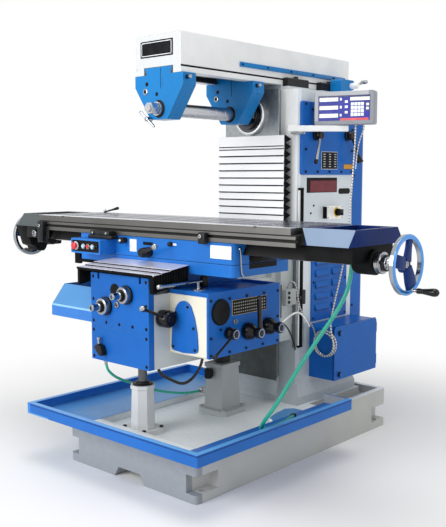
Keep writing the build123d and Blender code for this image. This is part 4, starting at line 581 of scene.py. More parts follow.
# Edge of the folded rim: a painted highlight makes it nearly white-blue
lip_blue = enamel("blue tray lip with painted highlight", "5aa6ea", 0.3, edge_wear_and_highlight="a8d6fa", edge_reach=0.8, shine=0.3)
OPENING_X, OPENING_FRONT, LIP_WIDE, LIP_IN, LEFT_EDGE = 391.0, -711.0, 24.0, 0.6, -208.0
form = bmesh.new()
slab(form, (LIP_IN - TRAY_X, TRAY_FRONT + LIP_IN, TRAY_RIM - 1),
     (TRAY_X - LIP_IN, TRAY_FRONT + LIP_IN + LIP_WIDE, TRAY_RIM + 0.6), 0.3, 1)
for side in (-1, 1):
    x = sorted((side * (TRAY_X - LIP_IN), side * (TRAY_X - LIP_IN - LIP_WIDE)))
    slab(form, (x[0], TRAY_FRONT + LIP_IN + 1, TRAY_RIM - 1), (x[1], TRAY_BACK - LIP_IN, TRAY_RIM + 0.55),
         0.3, 1)
piece("tray_lip", form, lip_blue, "frame")
patch = ((391, -215), (349, -187), (328, -123), (313, -29), (339, 6), (391, 8))
build("tray_floor", trough_blue, "frame", "blue_paint",
      (slab, (-OPENING_X, OPENING_FRONT, TRAY_FLOOR - 0.8), (LEFT_EDGE, TRAY_BACK - 46, TRAY_FLOOR + 0.4),
       0.3, 1),
      (plate, "z", (TRAY_FLOOR - 0.8, TRAY_FLOOR + 0.4), patch))
build("floor_step", base_grey, "frame", "grey_paint",
      (slab, (-OPENING_X, OPENING_FRONT, 200.3), (LEFT_EDGE - 1, TRAY_BACK - 47, TRAY_FLOOR - 1), 0.3, 1),
      (plate, "z", (200.3, TRAY_FLOOR - 1), [(x, y + 1) for x, y in patch]),
      (slab, (LEFT_EDGE, -752, TRAY_FLOOR), (OPENING_X, OPENING_FRONT, TRAY_FLOOR + 1.2), 0.6, 2))

# Column: a box casting in pale grey enamel; the way on its front is bare scraped iron.
# A rubber apron under the knee keeps chips off the lower part of the way.
WAY_FACE, WAY_LOW, WAY_TOP = 149.5, 330.0, 1740.0
# Pale grey enamel on the column: painted light makes it nearly white in front, painted shade greyer low down
# and dark in a strip beside the scale; the way is bare iron
column_finish = enamel("pale grey column enamel", "dae2e8", 0.36, 9.0, 0.14, "f0f2f2", 0.3)
second_tone(column_finish, [{"Y": (0, WAY_FACE), "Z": (WAY_LOW, WAY_TOP)}], "74797c", "a3a8aa", 0.42, 0.75)
second_tone(column_finish, [{"Y": (149.6, 151), "Z": (600, 1740)}], "f2f4f4", "fafbfb", 0.36, 0.0)
second_tone(column_finish, [{"X": (100, 300), "Y": (149.6, 260), "Z": (199, 600)}, {"Z": (199, WAY_LOW)}],
            "aeb6ba", "bcc4c8", 0.4, 0.0)
second_tone(column_finish, [{"X": (217, 240), "Y": (149.6, 151), "Z": (480, 930)}], "5d6366", "787e81",
            0.45, 0.3)
dress(column_finish, "column")

# Scraped edge of the way: bare bright iron, with a painted highlight beside the spindle
WAY_EDGE_X, WAY_EDGE_Y, WAY_EDGE_Z = (165.6, 168.3), (94.7, 98.0), (1512.5, 1730.5)
build("way_edge", bright_steel, "frame", "ground_iron",
      (slab, *zip(WAY_EDGE_X, WAY_EDGE_Y, WAY_EDGE_Z), 0.4, 1))

# Moulded rubber: dark grey and matt
rubber = moulded("dark grey rubber", "4a4f4d", 0.6, 5.0)
APRON_X, APRON_FOOT, APRON_TOP = 168.0, 318.0, 522.5
build("way_apron", rubber, "knee", "bellows",
      (slab, (-APRON_X, 88, APRON_FOOT), (APRON_X, 93, APRON_TOP), 1),
      (slab, (-APRON_X, 84, APRON_TOP - 22), (APRON_X, 88.2, APRON_TOP), 1))

# Way cover: sheet slats that slide behind each other over a black folded cloth, between knee and column.
# Each slat hangs a little forward at its foot, where a black strip is painted shade; the cloth's folds show
# at both sides.
COVER_X, COVER_FRONT, COVER_BACK, COVER_FOOT, COVER_TOP, COVER_PLEATS = 207.0, 84.0, 92.0, 930.0, 1512.0, 16
COVER_HEAD, COVER_NEXT, SLATS, SLAT_PITCH, SHADE_STRIP_TALL = 1459.0, 1447.0, 14, 35.4, 5.0
COVER_SIDE_X, PLEAT_IN, PLEAT_OUT = 176.0, 103.0, 146.0
cover_pitch = (COVER_TOP - COVER_FOOT) / COVER_PLEATS


def new_tree(name, result, sockets):
    """A new geometry tree with named inputs and one result, and the sockets of its inputs."""
    tree = bpy.data.node_groups.new(name, "GeometryNodeTree")
    for socket, kind in sockets:
        tree.interface.new_socket(socket, in_out="INPUT", socket_type="NodeSocket" + kind)
    tree.interface.new_socket(result, in_out="OUTPUT", socket_type="NodeSocketGeometry")
    return tree, add(tree, "NodeGroupInput", out=None)


def give(tree, result, copies, finish):
    """Ends a tree: the copies as one solid mesh with a finish."""
    solid = add(tree, "GeometryNodeRealizeInstances", {0: copies})
    dressed = add(tree, "GeometryNodeSetMaterial", {"Geometry": solid, "Material": finish})
    add(tree, "NodeGroupOutput", {result: dressed}, None)
    return tree


def set_out_tree():
    """Copies of a pattern on a mesh's points, turned and sized alike."""
    sockets = (("Places", "Geometry"), ("Pattern", "Object"), ("Turn", "Vector"), ("Size", "Float"),
               ("Finish", "Material"))
    tree, given = new_tree("set_out", "Pieces", sockets)
    pattern = add(tree, "GeometryNodeObjectInfo", {"Object": given["Pattern"]}, "Geometry")
    turn = add(tree, "FunctionNodeEulerToRotation", {0: given["Turn"]})
    copies = add(tree, "GeometryNodeInstanceOnPoints", {"Points": given["Places"], "Instance": pattern,
                                                        "Rotation": turn, "Scale": given["Size"]})
    return give(tree, "Pieces", copies, given["Finish"])


set_out_nodes = set_out_tree()


def evaluate(holder, tree, values):
    """The plain mesh that a tree makes on an object, with the tree's inputs set by name."""
    maker = holder.modifiers.new("maker", "NODES")
    maker.node_group = tree
    for item in tree.interface.items_tree:
        if item.in_out == "INPUT" and item.name in values:
            maker[item.identifier] = values[item.name]
    mesh = bpy.data.meshes.new_from_object(holder.evaluated_get(bpy.context.evaluated_depsgraph_get()))
    holder.modifiers.remove(maker)
    return mesh


def set_out(name, form, places, finish, body, way=UP, size=1.0, stands_for=()):
    """Copies of a form at places in millimetres, its +Z turned to a way, as one piece."""
    pattern_mesh = bpy.data.meshes.new(name + " pattern")
    form.to_mesh(pattern_mesh)
    form.free()
    pattern = bpy.data.objects.new(name + " pattern", pattern_mesh)
    spots = bpy.data.meshes.new(name + " places")
    spots.from_pydata([Vector(spot) * MM for spot in places], [], [])
    holder = bpy.data.objects.new(name + " places", spots)
    scene.collection.objects.link(pattern)
    scene.collection.objects.link(holder)
    turn = tuple(aim(way).to_euler())
    mesh = evaluate(holder, set_out_nodes, {"Pattern": pattern, "Turn": turn, "Size": size,
                                            "Finish": finish})
    for used in (pattern, holder):
        bpy.data.objects.remove(used)
    return piece(name, mesh, finish, body, stands_for)


# Brushed aluminium sheet: pale, with fine lines along each slat
slat_finish = shaded(bare_metal("brushed aluminium sheet", "e4e5e6", 0.42, (0, 0, 1), 3.0, 0.06, 0.92),
                     {"Metallic": 0.35})
# Coated cloth of the bellows: black with a dull sheen on the folds
bellows_finish = moulded("black coated bellows cloth", "08090b", 0.7, 4.0, 0.15, 0.08)
rows = [(0, 0, COVER_NEXT - slat * SLAT_PITCH) for slat in range(SLATS)]
slat_foot, slat_bend = 1 - SLAT_PITCH, 5 - SLAT_PITCH
section = ((88.0, 0), (84.6, slat_bend), (84.0, slat_foot), (86.4, slat_foot), (86.8, slat_bend), (90.2, 0))
slats = set_out("way_cover_slats", shaped((plate, "x", (-COVER_X, COVER_X), section, 0.4, 1)), rows,
                slat_finish, None, stands_for=("way_cover",))
head = build("way_cover_head", slat_finish, None, "bellows",
             (slab, (-COVER_X, 86, COVER_HEAD), (COVER_X, 90.3, COVER_TOP - 0.2), 0.6, 1),
             (slab, (-COVER_X, 87, COVER_NEXT), (COVER_X, 90.2, COVER_HEAD + 2), 0.4, 1),
             stands_for=("way_cover",))
feet = [(0, 0, z + slat_foot) for x, y, z in rows] + [(0, 2.2, COVER_HEAD - 1), (0, 3, COVER_NEXT - 2)]
# A black strip at each slat's foot stands for painted shade
shade_strip = shaped((slab, (-COVER_X + 0.5, 83.6, 0), (COVER_X - 0.5, 86.2, SHADE_STRIP_TALL), 0.3, 1))
shade_strips = set_out("way_cover_lips", shade_strip, feet, bellows_finish, None, stands_for=("way_cover",))
form = bmesh.new()
slab(form, (-COVER_X + 3, 90.4, COVER_FOOT), (COVER_X - 3, COVER_BACK, COVER_TOP), 0.3, 1)
pleats = [(COVER_BACK - 0.4, COVER_FOOT), (COVER_BACK - 0.4, COVER_TOP)]
for fold in range(COVER_PLEATS):
    top = COVER_TOP - fold * cover_pitch
    pleats += [(PLEAT_IN, top), (PLEAT_OUT, top - cover_pitch / 2)]
pleats += [(PLEAT_IN, COVER_FOOT)]
for side in (-1, 1):
    plate(form, "x", sorted((side * COVER_SIDE_X, side * (COVER_X - 1))), pleats, 0.6, 1)
cloth = piece("way_cover_cloth", form, bellows_finish, None, ("way_cover",))
for part in (slats, head, shade_strips, cloth):
    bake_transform(part)

# Rear cover, gear panel, vent cover and tool box: blue sheet and plate screwed to the column.
# They hang on rows of black socket screws.
PANEL_SIDE, VENT_SIDE, COLUMN_SIDE = 262, 258, 250
REAR_X, REAR_FEET = 250.4, (300, 640, 980, 1320, 1630)


def cap_screw():
    """A socket-head screw of unit radius, seated at the origin and facing up."""
    outline = ((-0.2, 1.0), (0.62, 1.0), (0.78, 0.86), (0.78, 0.52), (0.35, 0.5))
    outline = [(along / MM, radius / MM) for along, radius in outline]
    return shaped((turned, (0, 0, 0), UP, outline, 12))


def screws(name, places, radius, way, body, finish):
    """One piece of like screws on a face."""
    return set_out(name, cap_screw(), places, finish, body, way, radius * MM)


dress(machine_blue, "rear_cover", "gear_panel", "vent_cover", "tool_box")
places = ((184, 1660), (186, 1552), (186, 1446), (187, 1339), (285, 1339), (386, 1339), (491, 1339),
          (586, 1339), (587, 1446), (587, 1552), (586, 1660), (241, 1637), (386, 1660), (491, 1660))
spots = [(PANEL_SIDE, y, z) for y, z in places]
screws("gear_panel_screws", spots, 6.5, RIGHT, "frame", black_steel)
spots = [(VENT_SIDE, y, z) for y in (268, 547) for z in (614, 795, 976)]
screws("vent_cover_screws", spots, 5.5, RIGHT, "frame", black_steel)
# Blue enamel in the louvres' mouths, dark because little light gets in
deep_blue = enamel("shaded blue sheet enamel", "0d4390", 0.4, shine=0.2)
LOUVRE_Y, LOUVRE_LONG, LOUVRE_FEET = (337.0, 482.0), 106.0, [655 + 57 * row for row in range(6)]
spots = [(VENT_SIDE, y, z) for y in LOUVRE_Y for z in LOUVRE_FEET]
half = LOUVRE_LONG / 2
mouth = shaped((slab, (-0.2, -half, -5.5), (8.6, half, 0.3), 1, 1))
set_out("louvre_mouths", mouth, spots, deep_blue, "frame")
section = ((-0.2, 30), (3, 27), (7, 16), (9.6, 5), (9.6, 0.4), (8.8, 0.4), (8.4, 5), (5, 16), (1, 24),
           (-0.2, 26))
hood = shaped((plate, "y", (-half - 3, half + 3), section, 0.3, 1))
set_out("louvre_hoods", hood, spots, machine_blue, "frame")
for side in (-1, 1):
    spots = [(side * REAR_X, 626, z) for z in REAR_FEET]
    screws(f"rear_cover_screws_{'left' if side < 0 else 'right'}", spots, 6, (side, 0, 0), "frame",
           black_steel)

# Plates on the column's right side: a data plate on the gear panel, a bare name plate and a black plate.
# They are thin enamelled sheet; nothing is written on them.
# Enamelled plates: enamel fired on thin sheet, in flat colours with a slight gloss
black_plate = moulded("black enamelled plate", "0b0c0f", 0.4, 2.0, 0.03, 0.1)
red_plate = moulded("dark red enamelled plate", "6d1c28", 0.3, 2.0, 0.03, 0.3)
pale_plate = moulded("pale enamelled plate", "d9dde0", 0.35, 2.0, 0.03)
white_plate = moulded("white enamelled plate", "f0f1f1", 0.35, 2.0, 0.03)
amber_plate = moulded("amber enamelled plate", "c08a30", 0.35, 2.0, 0.03, 0.2)


def side_plate(name, x, y, z, finish, body, rim=None, thick=1.6, edge=4.0):
    """A plate on a face that looks right, with its corners rounded and a rim in a second finish."""
    if rim:
        build(name + "_rim", rim, body, None,
              (slab, (x - 0.3, y[0] - edge, z[0] - edge), (x + thick - 0.6, y[1] + edge, z[1] + edge),
               0.5, 1))
    build(name, finish, body, None, (slab, (x - 0.3, y[0], z[0]), (x + thick, y[1], z[1]), 0.5, 1))


side_plate("speed_plate", PANEL_SIDE, (318, 453), (1353, 1436), black_plate, "frame", pale_plate, 1.6, 2.0)
side_plate("panel_plate", PANEL_SIDE, (512, 597), (1354, 1377), amber_plate, "frame", black_plate, 1.6, 1.5)
spots = [(PANEL_SIDE + 1.6, 336 + column * 47 + dash * 9, 1365 + row * 12)
         for column in range(3) for row in range(6) for dash in range(2)]
mark = shaped((slab, (-2, -3.2, 0), (2, 3.2, 0.4)))
set_out("speed_plate_marks", mark, spots, pale_plate, "frame", RIGHT)
side_plate("name_plate_back", COLUMN_SIDE, (213, 471), (1237, 1310), black_plate, "frame", None, 1.4)
side_plate("name_plate", COLUMN_SIDE, (240, 467), (1240, 1296), red_plate, "frame", None, 2.2)
CAPSULE_R, CAPSULE_Z, CAPSULE_Y = 14.0, 1241.5, (500.0, 576.0)
round_end = [radians(turn) for turn in range(-90, 91, 15)]
outline = [(CAPSULE_Y[1] + CAPSULE_R * cos(turn), CAPSULE_Z + CAPSULE_R * sin(turn)) for turn in round_end]
outline += [(CAPSULE_Y[0] - CAPSULE_R * cos(turn), CAPSULE_Z - CAPSULE_R * sin(turn)) for turn in round_end]
build("low_plate", black_plate, "frame", "black_plastic",
      (plate, "x", (COLUMN_SIDE - 0.2, COLUMN_SIDE + 2), outline, 0.6, 1))
spots = [(COLUMN_SIDE, y, z) for y, z in ((271, 1174), (248, 1137))]
screws("column_screws", spots, 5, RIGHT, "frame", black_steel)

# Speed levers: black hubs on the gear panel; the front lever is a bright tapered bar with a black end,
# the back one a black bar with a tapered knob. Each bar stands in its hub.
PANEL_FACE = PANEL_SIDE + 0.1
LEVER_HUB = ((0.3, 25), (4, 27), (10, 27), (13, 24), (24, 23), (34, 21), (38, 17), (38, 12), (36, 11))


def bar_between(form, start, end, outline, sides=20):
    """Adds a turned bar from one point towards another; the outline's distances are shares of the way."""
    way = Vector(end) - Vector(start)
    turned(form, start, way, [(share * way.length, radius) for share, radius in outline], sides)


# Moulded phenolic: black with a deep gloss
phenolic = moulded("black phenolic", "100e10", 0.2, 6.0, 0.04, 0.3)
speed_levers = (("speed_lever_front", (266, 1514), (305, 212, 1386), bright_steel,
                 ((0.0, 6), (0.5, 6.5), (0.9, 8.5), (1.0, 8.5)),
                 ((0.93, 9.6), (1.0, 10), (1.05, 9), (1.07, 6))),
                ("speed_lever_back", (539, 1521), (318, 574, 1400), black_steel,
                 ((0.0, 7), (0.8, 5.5), (1.0, 5)),
                 ((0.82, 7), (0.9, 11), (1.08, 16.5), (1.11, 14), (1.12, 8))))
for name, hub, tip, finish, arm, knob in speed_levers:
    build(name + "_hub", phenolic, name, "black_plastic",
          (turned, (PANEL_FACE, *hub), RIGHT, LEVER_HUB),
          (bar_between, (PANEL_FACE + 28, *hub), tip, knob), stands_for=(name,))
    build(name + "_arm", finish, name, "steel", (bar_between, (PANEL_FACE + 28, *hub), tip, arm))

# Switch box: a pale moulded box with a black side, a yellow disc plate and a dark rotary knob.
# The knob turns a quarter turn on its stub.
# Moulded ABS: off-white with a soft gloss
pale_plastic = moulded("pale grey ABS", "f2f2ee", 0.4, 3.0)
# Yellow enamel on a disc plate: a flat warm yellow
yellow_plate = moulded("yellow enamelled plate", "e0bb2c", 0.35, 2.0, 0.03)
# Red moulded plastic: clear red with a gloss
red_plastic = moulded("red moulded plastic", "cf2430", 0.3, 3.0, 0.04)
dress(pale_plastic, "switch_box")
dress(phenolic, "main_switch")
SWITCH_FACE, SWITCH_FRONT, SWITCH_BACK, SWITCH_FOOT, SWITCH_TOP = 278.0, 350.0, 486.0, 1104.0, 1170.0
build("switch_plate", yellow_plate, "frame", None,
      (turned, (SWITCH_FACE - 0.3, 430, 1138), RIGHT, ((0, 25), (1.4, 25), (2, 24), (2, 19)), 40))
build("switch_grip", phenolic, "main_switch", "black_plastic",
      (slab, (292, 424, 1122), (318, 436, 1154), 3, 2))
side_plate("switch_label", SWITCH_FACE, (359, 398), (1113, 1161), white_plate, "frame")
build("switch_side", black_plate, "frame", "black_plastic",
      (slab, (252, SWITCH_FRONT - 1.4, SWITCH_FOOT + 3), (276, SWITCH_FRONT + 0.4, SWITCH_TOP - 3), 0.6, 1))
spots = [(SWITCH_FACE, y, z) for y in (SWITCH_FRONT + 7, SWITCH_BACK - 7)
         for z in (SWITCH_FOOT + 7, SWITCH_TOP - 7)]
screws("switch_screws", spots, 3, RIGHT, "frame", bright_steel)

# Tool box door: folded blue sheet on a hinge at its back edge, closed by two black knobs.
# A black seal runs round the box's mouth; nothing is written on the door.
DOOR_FACE = 402.0
dress(machine_blue, "tool_box_door")
knob = ((0, 13), (4, 13.5), (7, 12), (9, 12.4), (12, 11.6), (12.4, 6))
build("tool_box_knobs", phenolic, "tool_box_door", "black_plastic",
      *[(turned, (DOOR_FACE - 0.5, 290, z), RIGHT, knob) for z in (351, 556)])
SEAL_X, SEAL_Y, SEAL_Z, SEAL_WIDE = (392.4, 396.2), (248.6, 628.5), (326.0, 590.4), 6.0
build("tool_box_seal", bellows_finish, "frame", "black_plastic",
      *[(slab, (SEAL_X[0], y, SEAL_Z[0]), (SEAL_X[1], y + SEAL_WIDE, SEAL_Z[1]), 0.3, 1)
        for y in (SEAL_Y[0], SEAL_Y[1] - SEAL_WIDE)],
      *[(slab, (SEAL_X[0], SEAL_Y[0] + 1, z), (SEAL_X[1], SEAL_Y[1] - 1, z + SEAL_WIDE), 0.3, 1)
        for z in (SEAL_Z[0], SEAL_Z[1] - SEAL_WIDE)])
build("tool_box_hinges", machine_blue, "frame", "blue_paint",
      *[(turned, (399, 629.5, z - 25), UP, ((0, 4), (0.6, 4.5), (49.4, 4.5), (50, 4)), 16)
        for z in (375, 540)])

# Vertical scale: an aluminium extrusion up the column's front edge, with a black sealing lip in its slot.
# A reading head on a bracket from the knee slides along it.
SCALE_X, SCALE_Y, SCALE_Z = (250.0, 262.0), (143.0, 187.0), (492.0, 1256.0)
SLOT_Y, SLOT_DEEP, CAP_TALL = (147.0, 176.0), 6.0, 12.0
# Anodised aluminium: satin grey with draw lines along the bar
anodised = bare_metal("anodised aluminium", "ced3d2", 0.38, (1, 1, 0), 3.0, 0.08)
back, face = SCALE_X
front, rear = SCALE_Y
outline = ((back, front), (face - 3, front), (face, front + 3), (face, SLOT_Y[0]),
           (face - SLOT_DEEP, SLOT_Y[0]), (face - SLOT_DEEP, SLOT_Y[1]), (face, SLOT_Y[1]),
           (face, rear - 3), (face - 3, rear), (back, rear))
build("column_scale", anodised, "frame", "steel", (plate, "z", SCALE_Z, outline))
build("column_scale_lip", bellows_finish, "frame", "black_plastic",
      (slab, (face - SLOT_DEEP, SLOT_Y[0] + 0.2, SCALE_Z[0]), (face - 1.5, SLOT_Y[1] - 0.2, SCALE_Z[1] - 1),
       0.5, 1),
      *[(slab, (back, front - 1, z - CAP_TALL / 2), (face + 1, SLOT_Y[1], z + CAP_TALL / 2), 2)
        for z in SCALE_Z])
# Sprayed die casting: mid grey with a fine grain
head_grey = enamel("mid grey sprayed casting", "9aa0a0", 0.4, 6.0, 0.12, "c4c8c8", 0.4)
build("reading_head", head_grey, "knee", "grey_paint",
      (slab, (266, 4, 711), (292, 84, 787), 4, 3),
      (slab, (215.2, 62, 726), (268, 84, 772), 2))
screws("reading_head_screws", [(292, 24, z) for z in (728, 750, 772)], 7, RIGHT, "knee", black_steel)
build("scale_slider", black_steel, "knee", "black_plastic",
      (slab, (264.4, 142, 702), (282, 172, 772), 3),
      (slab, (270, 84, 728), (280, 144, 744), 2))

# Front and rear posts: grey castings bolted to the base; one guides a shaft, the other holds the screw.
# Socket screws hold their flanges and caps; an oil cup sits on the rear post's front.
POST_Y, SCREW_X, SCREW_Y = -640.0, 46.0, -170.0
# Pale grey enamel on the front post: paler than the base, with the casting's grain
post_grey = enamel("pale grey enamel on cast iron", "d4d6d6", 0.42, 9.0, 0.25, "eceeef", 0.3)
dress(post_grey, "front_post")
# Grey enamel on the rear post: the base's colour, a little darker
screw_post_grey = enamel("mid grey enamel on cast iron", "b1b5b6", 0.5, 12.0, 0.3, "d5d8da", 0.3)
dress(screw_post_grey, "rear_post")
screws("front_post_bolts", [(x, POST_Y + y, 222) for x in (-62, 62) for y in (-52, 52)], 9, UP,
       "frame", black_steel)
screws("front_post_cap_screws", [(36 * cos(radians(turn)), POST_Y + 36 * sin(radians(turn)), 414)
                                 for turn in (-45, 45, 135, 225)], 6, UP, "frame", black_steel)
screws("rear_post_bolts", [(SCREW_X + x, SCREW_Y + y, 226) for x in (-70, 70) for y in (-74, 74)], 9,
       UP, "frame", screw_post_grey)
build("oil_cup", black_steel, "frame", "black_plastic",
      (turned, (34, -255, 372), UP, ((0, 14), (3, 19), (34, 19), (37, 21), (44, 21), (46, 17)), 24),
      (slab, (24, -240, 380), (44, -228.8, 404), 2))
build("shaft_wiper", black_steel, "frame", "black_plastic",
      (turned, (0, POST_Y, 413.8), UP, ((0, 44), (5, 44), (7, 42), (7, 31), (12, 30), (14, 27),
       (14, 20.4), (6, 20.4)), 40))
# Oiled bar: dark steel with a soft shine
dark_bar = bare_metal("oiled ground bar", "5e6063", 0.25, (0, 0, 1), 4.0, 0.05)
dress(dark_bar, "support_shaft")
# Rolled screw thread: oily dark steel with close rings
screw_steel = bare_metal("oiled screw steel", "74736f", 0.35, (0, 0, 1), 8.0, 0.8)
dress(screw_steel, "elevating_screw")
build("screw_sleeve", black_steel, "knee", "black_plastic",
      (turned, (SCREW_X, SCREW_Y, 441), UP, ((0, 30), (2, 36), (79, 36), (82, 34)), 36))

# Knee: a cast box in pale grey enamel with a blue front plate, a folded side trough and a feed box.
# The plate is held by sunk socket screws; a sight glass shows the oil level.
# Pale grey enamel on the knee: a little duller than the column, with a strip of painted shade behind the
# reading head
knee_grey = enamel("pale grey knee enamel", "c6cccc", 0.38, 9.0, 0.14, "e4e7e7", 0.3)
second_tone(knee_grey, [{"X": (214, 216), "Y": (30, 68), "Z": (640, 800)}], "141618", "1d2023", 0.5, 0.0)
dress(knee_grey, "knee")
dress(machine_blue, "knee_plate", "feed_cover")
# Side trough blue: painted light on its slope, painted shade on its upright front, a painted highlight along
# the fold
slope_blue = enamel("blue trough enamel with painted light and shade", "5293cf", 0.34, edge_wear_and_highlight="a5c8f2", edge_reach=0.8, shine=0.3)
second_tone(slope_blue, [{"Y": (-701, -699), "Z": (660, 714)}], "2a6fc2", "3a80cf", 0.34, 0.0)
second_tone(slope_blue, [{"Y": (-701, -694), "Z": (711, 719)}], "86bdee", "9fd0f6", 0.34, 0.0)
dress(slope_blue, "side_trough")
PLATE_FACE = -770.0
spots = [(side * 168, PLATE_FACE + 7, z) for side in (-1, 1) for z in (888, 789, 694, 654, 537)]
spots += [(x, PLATE_FACE + 7, 694) for x in (-84, 0, 84)]
screws("knee_plate_screws", spots, 7.4, FRONT, "knee", black_steel)
# Sight glass: a bright ring round a dark amber glass
amber = moulded("oil behind glass", "3a2f1c", 0.06, 10.0, 0.01)
SIGHT_RING = ((-0.5, 14), (5, 14), (7, 12.5), (7, 8.5), (4, 8))


def sight_glass(name, place, way, size):
    build(name + "_ring", bright_steel, "knee", "steel",
          (turned, place, way, [(along * size, radius * size) for along, radius in SIGHT_RING], 28))
    build(name + "_glass", amber, "knee", "clear_tube",
          (turned, Vector(place) + Vector(way) * 4.2 * size, way,
           ((0, 7.8 * size), (1.4, 5 * size), (2, 1.5)), 20))


sight_glass("plate_sight_glass", (-11, PLATE_FACE, 778), FRONT, 1.0)
EYE_PLACE = (-25.0, -757.0, 841.0)
build("plate_eye", black_plate, "knee", "black_plastic",
      (turned, EYE_PLACE, FRONT, ((0, 22.6), (3, 22.6), (4, 20), (4, 8), (7, 7), (8, 3)), 32),
      (turned, (EYE_PLACE[0], PLATE_FACE + 0.3, 838), FRONT,
       ((0, 29), (1.6, 29), (2.2, 27), (2.2, 23)), 36))

# Knee cover: sheet slats over a black folded cloth, between the knee's front and the saddle.
# The slats overlap like tiles, and the cloth's folds make the skirts at both sides.
ROOF_X, ROOF_FRONT, ROOF_BACK, ROOF_FRONT_Z, ROOF_BACK_Z = 242.0, -800.0, -594.0, 921.0, 951.0
SKIRT_IN, SKIRT_FRONT_Z, SKIRT_BACK_Z, SKIRT_PLEATS = 223.0, 848.0, 882.0, 14
ROOF_PITCH, ROOF_STEP = 47.0, 6.4
roof_slope = (ROOF_BACK_Z - ROOF_FRONT_Z) / (ROOF_BACK - ROOF_FRONT)
rows = [(0, ROOF_FRONT + slat * ROOF_PITCH, ROOF_FRONT_Z + slat * ROOF_PITCH * roof_slope)
        for slat in range(3)]


def roof_slat(deep):
    """One slat with its front foot at the origin, a step in front and its back end let into the next one."""
    end, rise = deep + 1.5, deep * roof_slope
    section = ((0, -2.4), (1.2, ROOF_STEP), (end, rise + 0.4), (end, rise - 1.6), (3.4, 1.6), (2.4, -2.4))
    return shaped((plate, "x", (-ROOF_X, ROOF_X), section, 0.4, 1))


# Rolled aluminium sheet: pale with a violet cast and faint streaks along each slat
roof_finish = shaded(bare_metal("rolled aluminium sheet", "e2e1ea", 0.34, (0, 1, 0), 30.0, 0.02, 0.94),
                     {"Metallic": 0.45})
slats = set_out("knee_cover_slats", roof_slat(ROOF_PITCH), rows[:2], roof_finish, None,
                stands_for=("knee_cover",))
back_sheet = set_out("knee_cover_sheet", roof_slat(ROOF_BACK - rows[2][1] - 1.5), rows[2:], roof_finish,
                     None, stands_for=("knee_cover",))
# A black strip under each slat's step stands for painted shade
shade_strip = shaped((slab, (-ROOF_X + 0.5, -0.9, -4.4), (ROOF_X - 0.5, 1.0, ROOF_STEP - 1.6), 0.3, 1))
shade_strips = set_out("knee_cover_lips", shade_strip, rows, bellows_finish, None, stands_for=("knee_cover",))
form = bmesh.new()
fold = (ROOF_BACK - ROOF_FRONT) / SKIRT_PLEATS
plate(form, "x", (-ROOF_X + 3, ROOF_X - 3),
      ((ROOF_FRONT + 2, ROOF_FRONT_Z - 7), (ROOF_BACK, ROOF_BACK_Z - 7), (ROOF_BACK, ROOF_BACK_Z - 3),
       (ROOF_FRONT + 2, ROOF_FRONT_Z - 3)))
for side in (-1, 1):
    for pleat in range(SKIRT_PLEATS):
        start = ROOF_FRONT + pleat * fold
        share = (pleat + 0.5) / SKIRT_PLEATS
        low = SKIRT_FRONT_Z + (SKIRT_BACK_Z - SKIRT_FRONT_Z) * share
        high = ROOF_FRONT_Z + (ROOF_BACK_Z - ROOF_FRONT_Z) * share - 4
        leaf = ((side * SKIRT_IN, start + 0.3), (side * (ROOF_X - 11), start + 0.3),
                (side * (ROOF_X - 1), start + 3), (side * (ROOF_X - 1), start + fold - 4),
                (side * (ROOF_X - 11), start + fold - 0.3), (side * SKIRT_IN, start + fold - 0.3))
        plate(form, "z", (low, high), leaf, 0.8, 2)
cloth = piece("knee_cover_cloth", form, bellows_finish, None, ("knee_cover",))
for part in (slats, back_sheet, shade_strips, cloth):
    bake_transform(part)

# Feed box: a cream enamelled casting with a blue cover plate at its side and a bullet-shaped lid in front.
# Black socket screws go round both; a black disc, a data plate and a sight glass sit on the cover.
FEED_FACE, LID_FACE = 405.0, -652.0
# Cream enamel: warm off-white with a soft gloss
cream = enamel("cream machine enamel", "e6e2d2", 0.36, 9.0, 0.12, "f3f1e8", 0.3)
dress(cream, "feed_box")
bullet = [(198, 612), (203, 602), (212, 598), (267, 593), (335, 600), (347, 606), (351, 618), (346, 685),
          (331, 746), (312, 790), (300, 802), (286, 809), (268, 811), (250, 806), (236, 794), (223, 774),
          (205, 698)]
build("feed_lid", machine_blue, "knee", "blue_paint",
      (plate, "y", (LID_FACE - 7, LID_FACE + 0.3), bullet, 2.0, 2))
spots = [(x, LID_FACE - 7, z) for x, z in ((297, 788), (329, 703), (337, 614), (212, 614), (226, 758))]
screws("feed_lid_screws", spots, 5.5, FRONT, "knee", black_steel)
places = ((-637, 821), (-525, 819), (-416, 819), (-301, 819), (-206, 819), (-637, 668), (-637, 597),
          (-525, 597), (-419, 597), (-308, 597), (-206, 597), (-580, 697), (-206, 705))
spots = [(FEED_FACE, y, z) for y, z in places]
screws("feed_cover_screws", spots, 6, RIGHT, "knee", black_steel)
build("feed_disc", black_plate, "knee", "black_plastic",
      (turned, (FEED_FACE - 0.5, -580, 769), RIGHT, ((0, 54), (6, 54), (9, 51), (9, 46), (8, 44),
       (8, 6)), 40))
side_plate("feed_plate", FEED_FACE, (-507, -285), (747, 808), black_plate, "knee", yellow_plate, 1.6, 1.2)
spots = [(FEED_FACE + 1.6, -495 + column * 14, 757 + row * 13) for column in range(15) for row in range(4)]
# Printed marks on the chart: faded yellow-grey
chart_print = moulded("faded chart print", "a3a294", 0.5, 2.0, 0.02)
mark = shaped((slab, (-2.4, -3.5, 0), (2.4, 3.5, 0.4)))
set_out("feed_plate_marks", mark, spots, chart_print, "knee", RIGHT)
sight_glass("feed_sight_glass", (FEED_FACE, -491, 719), RIGHT, 0.8)
build("lid_pin", bright_steel, "knee", "steel",
      (turned, (300, -600, 852.8), UP, ((0, 30), (3, 30), (4.5, 27), (5, 7), (24, 6), (27, 7),
       (31, 7), (33, 4)), 28))

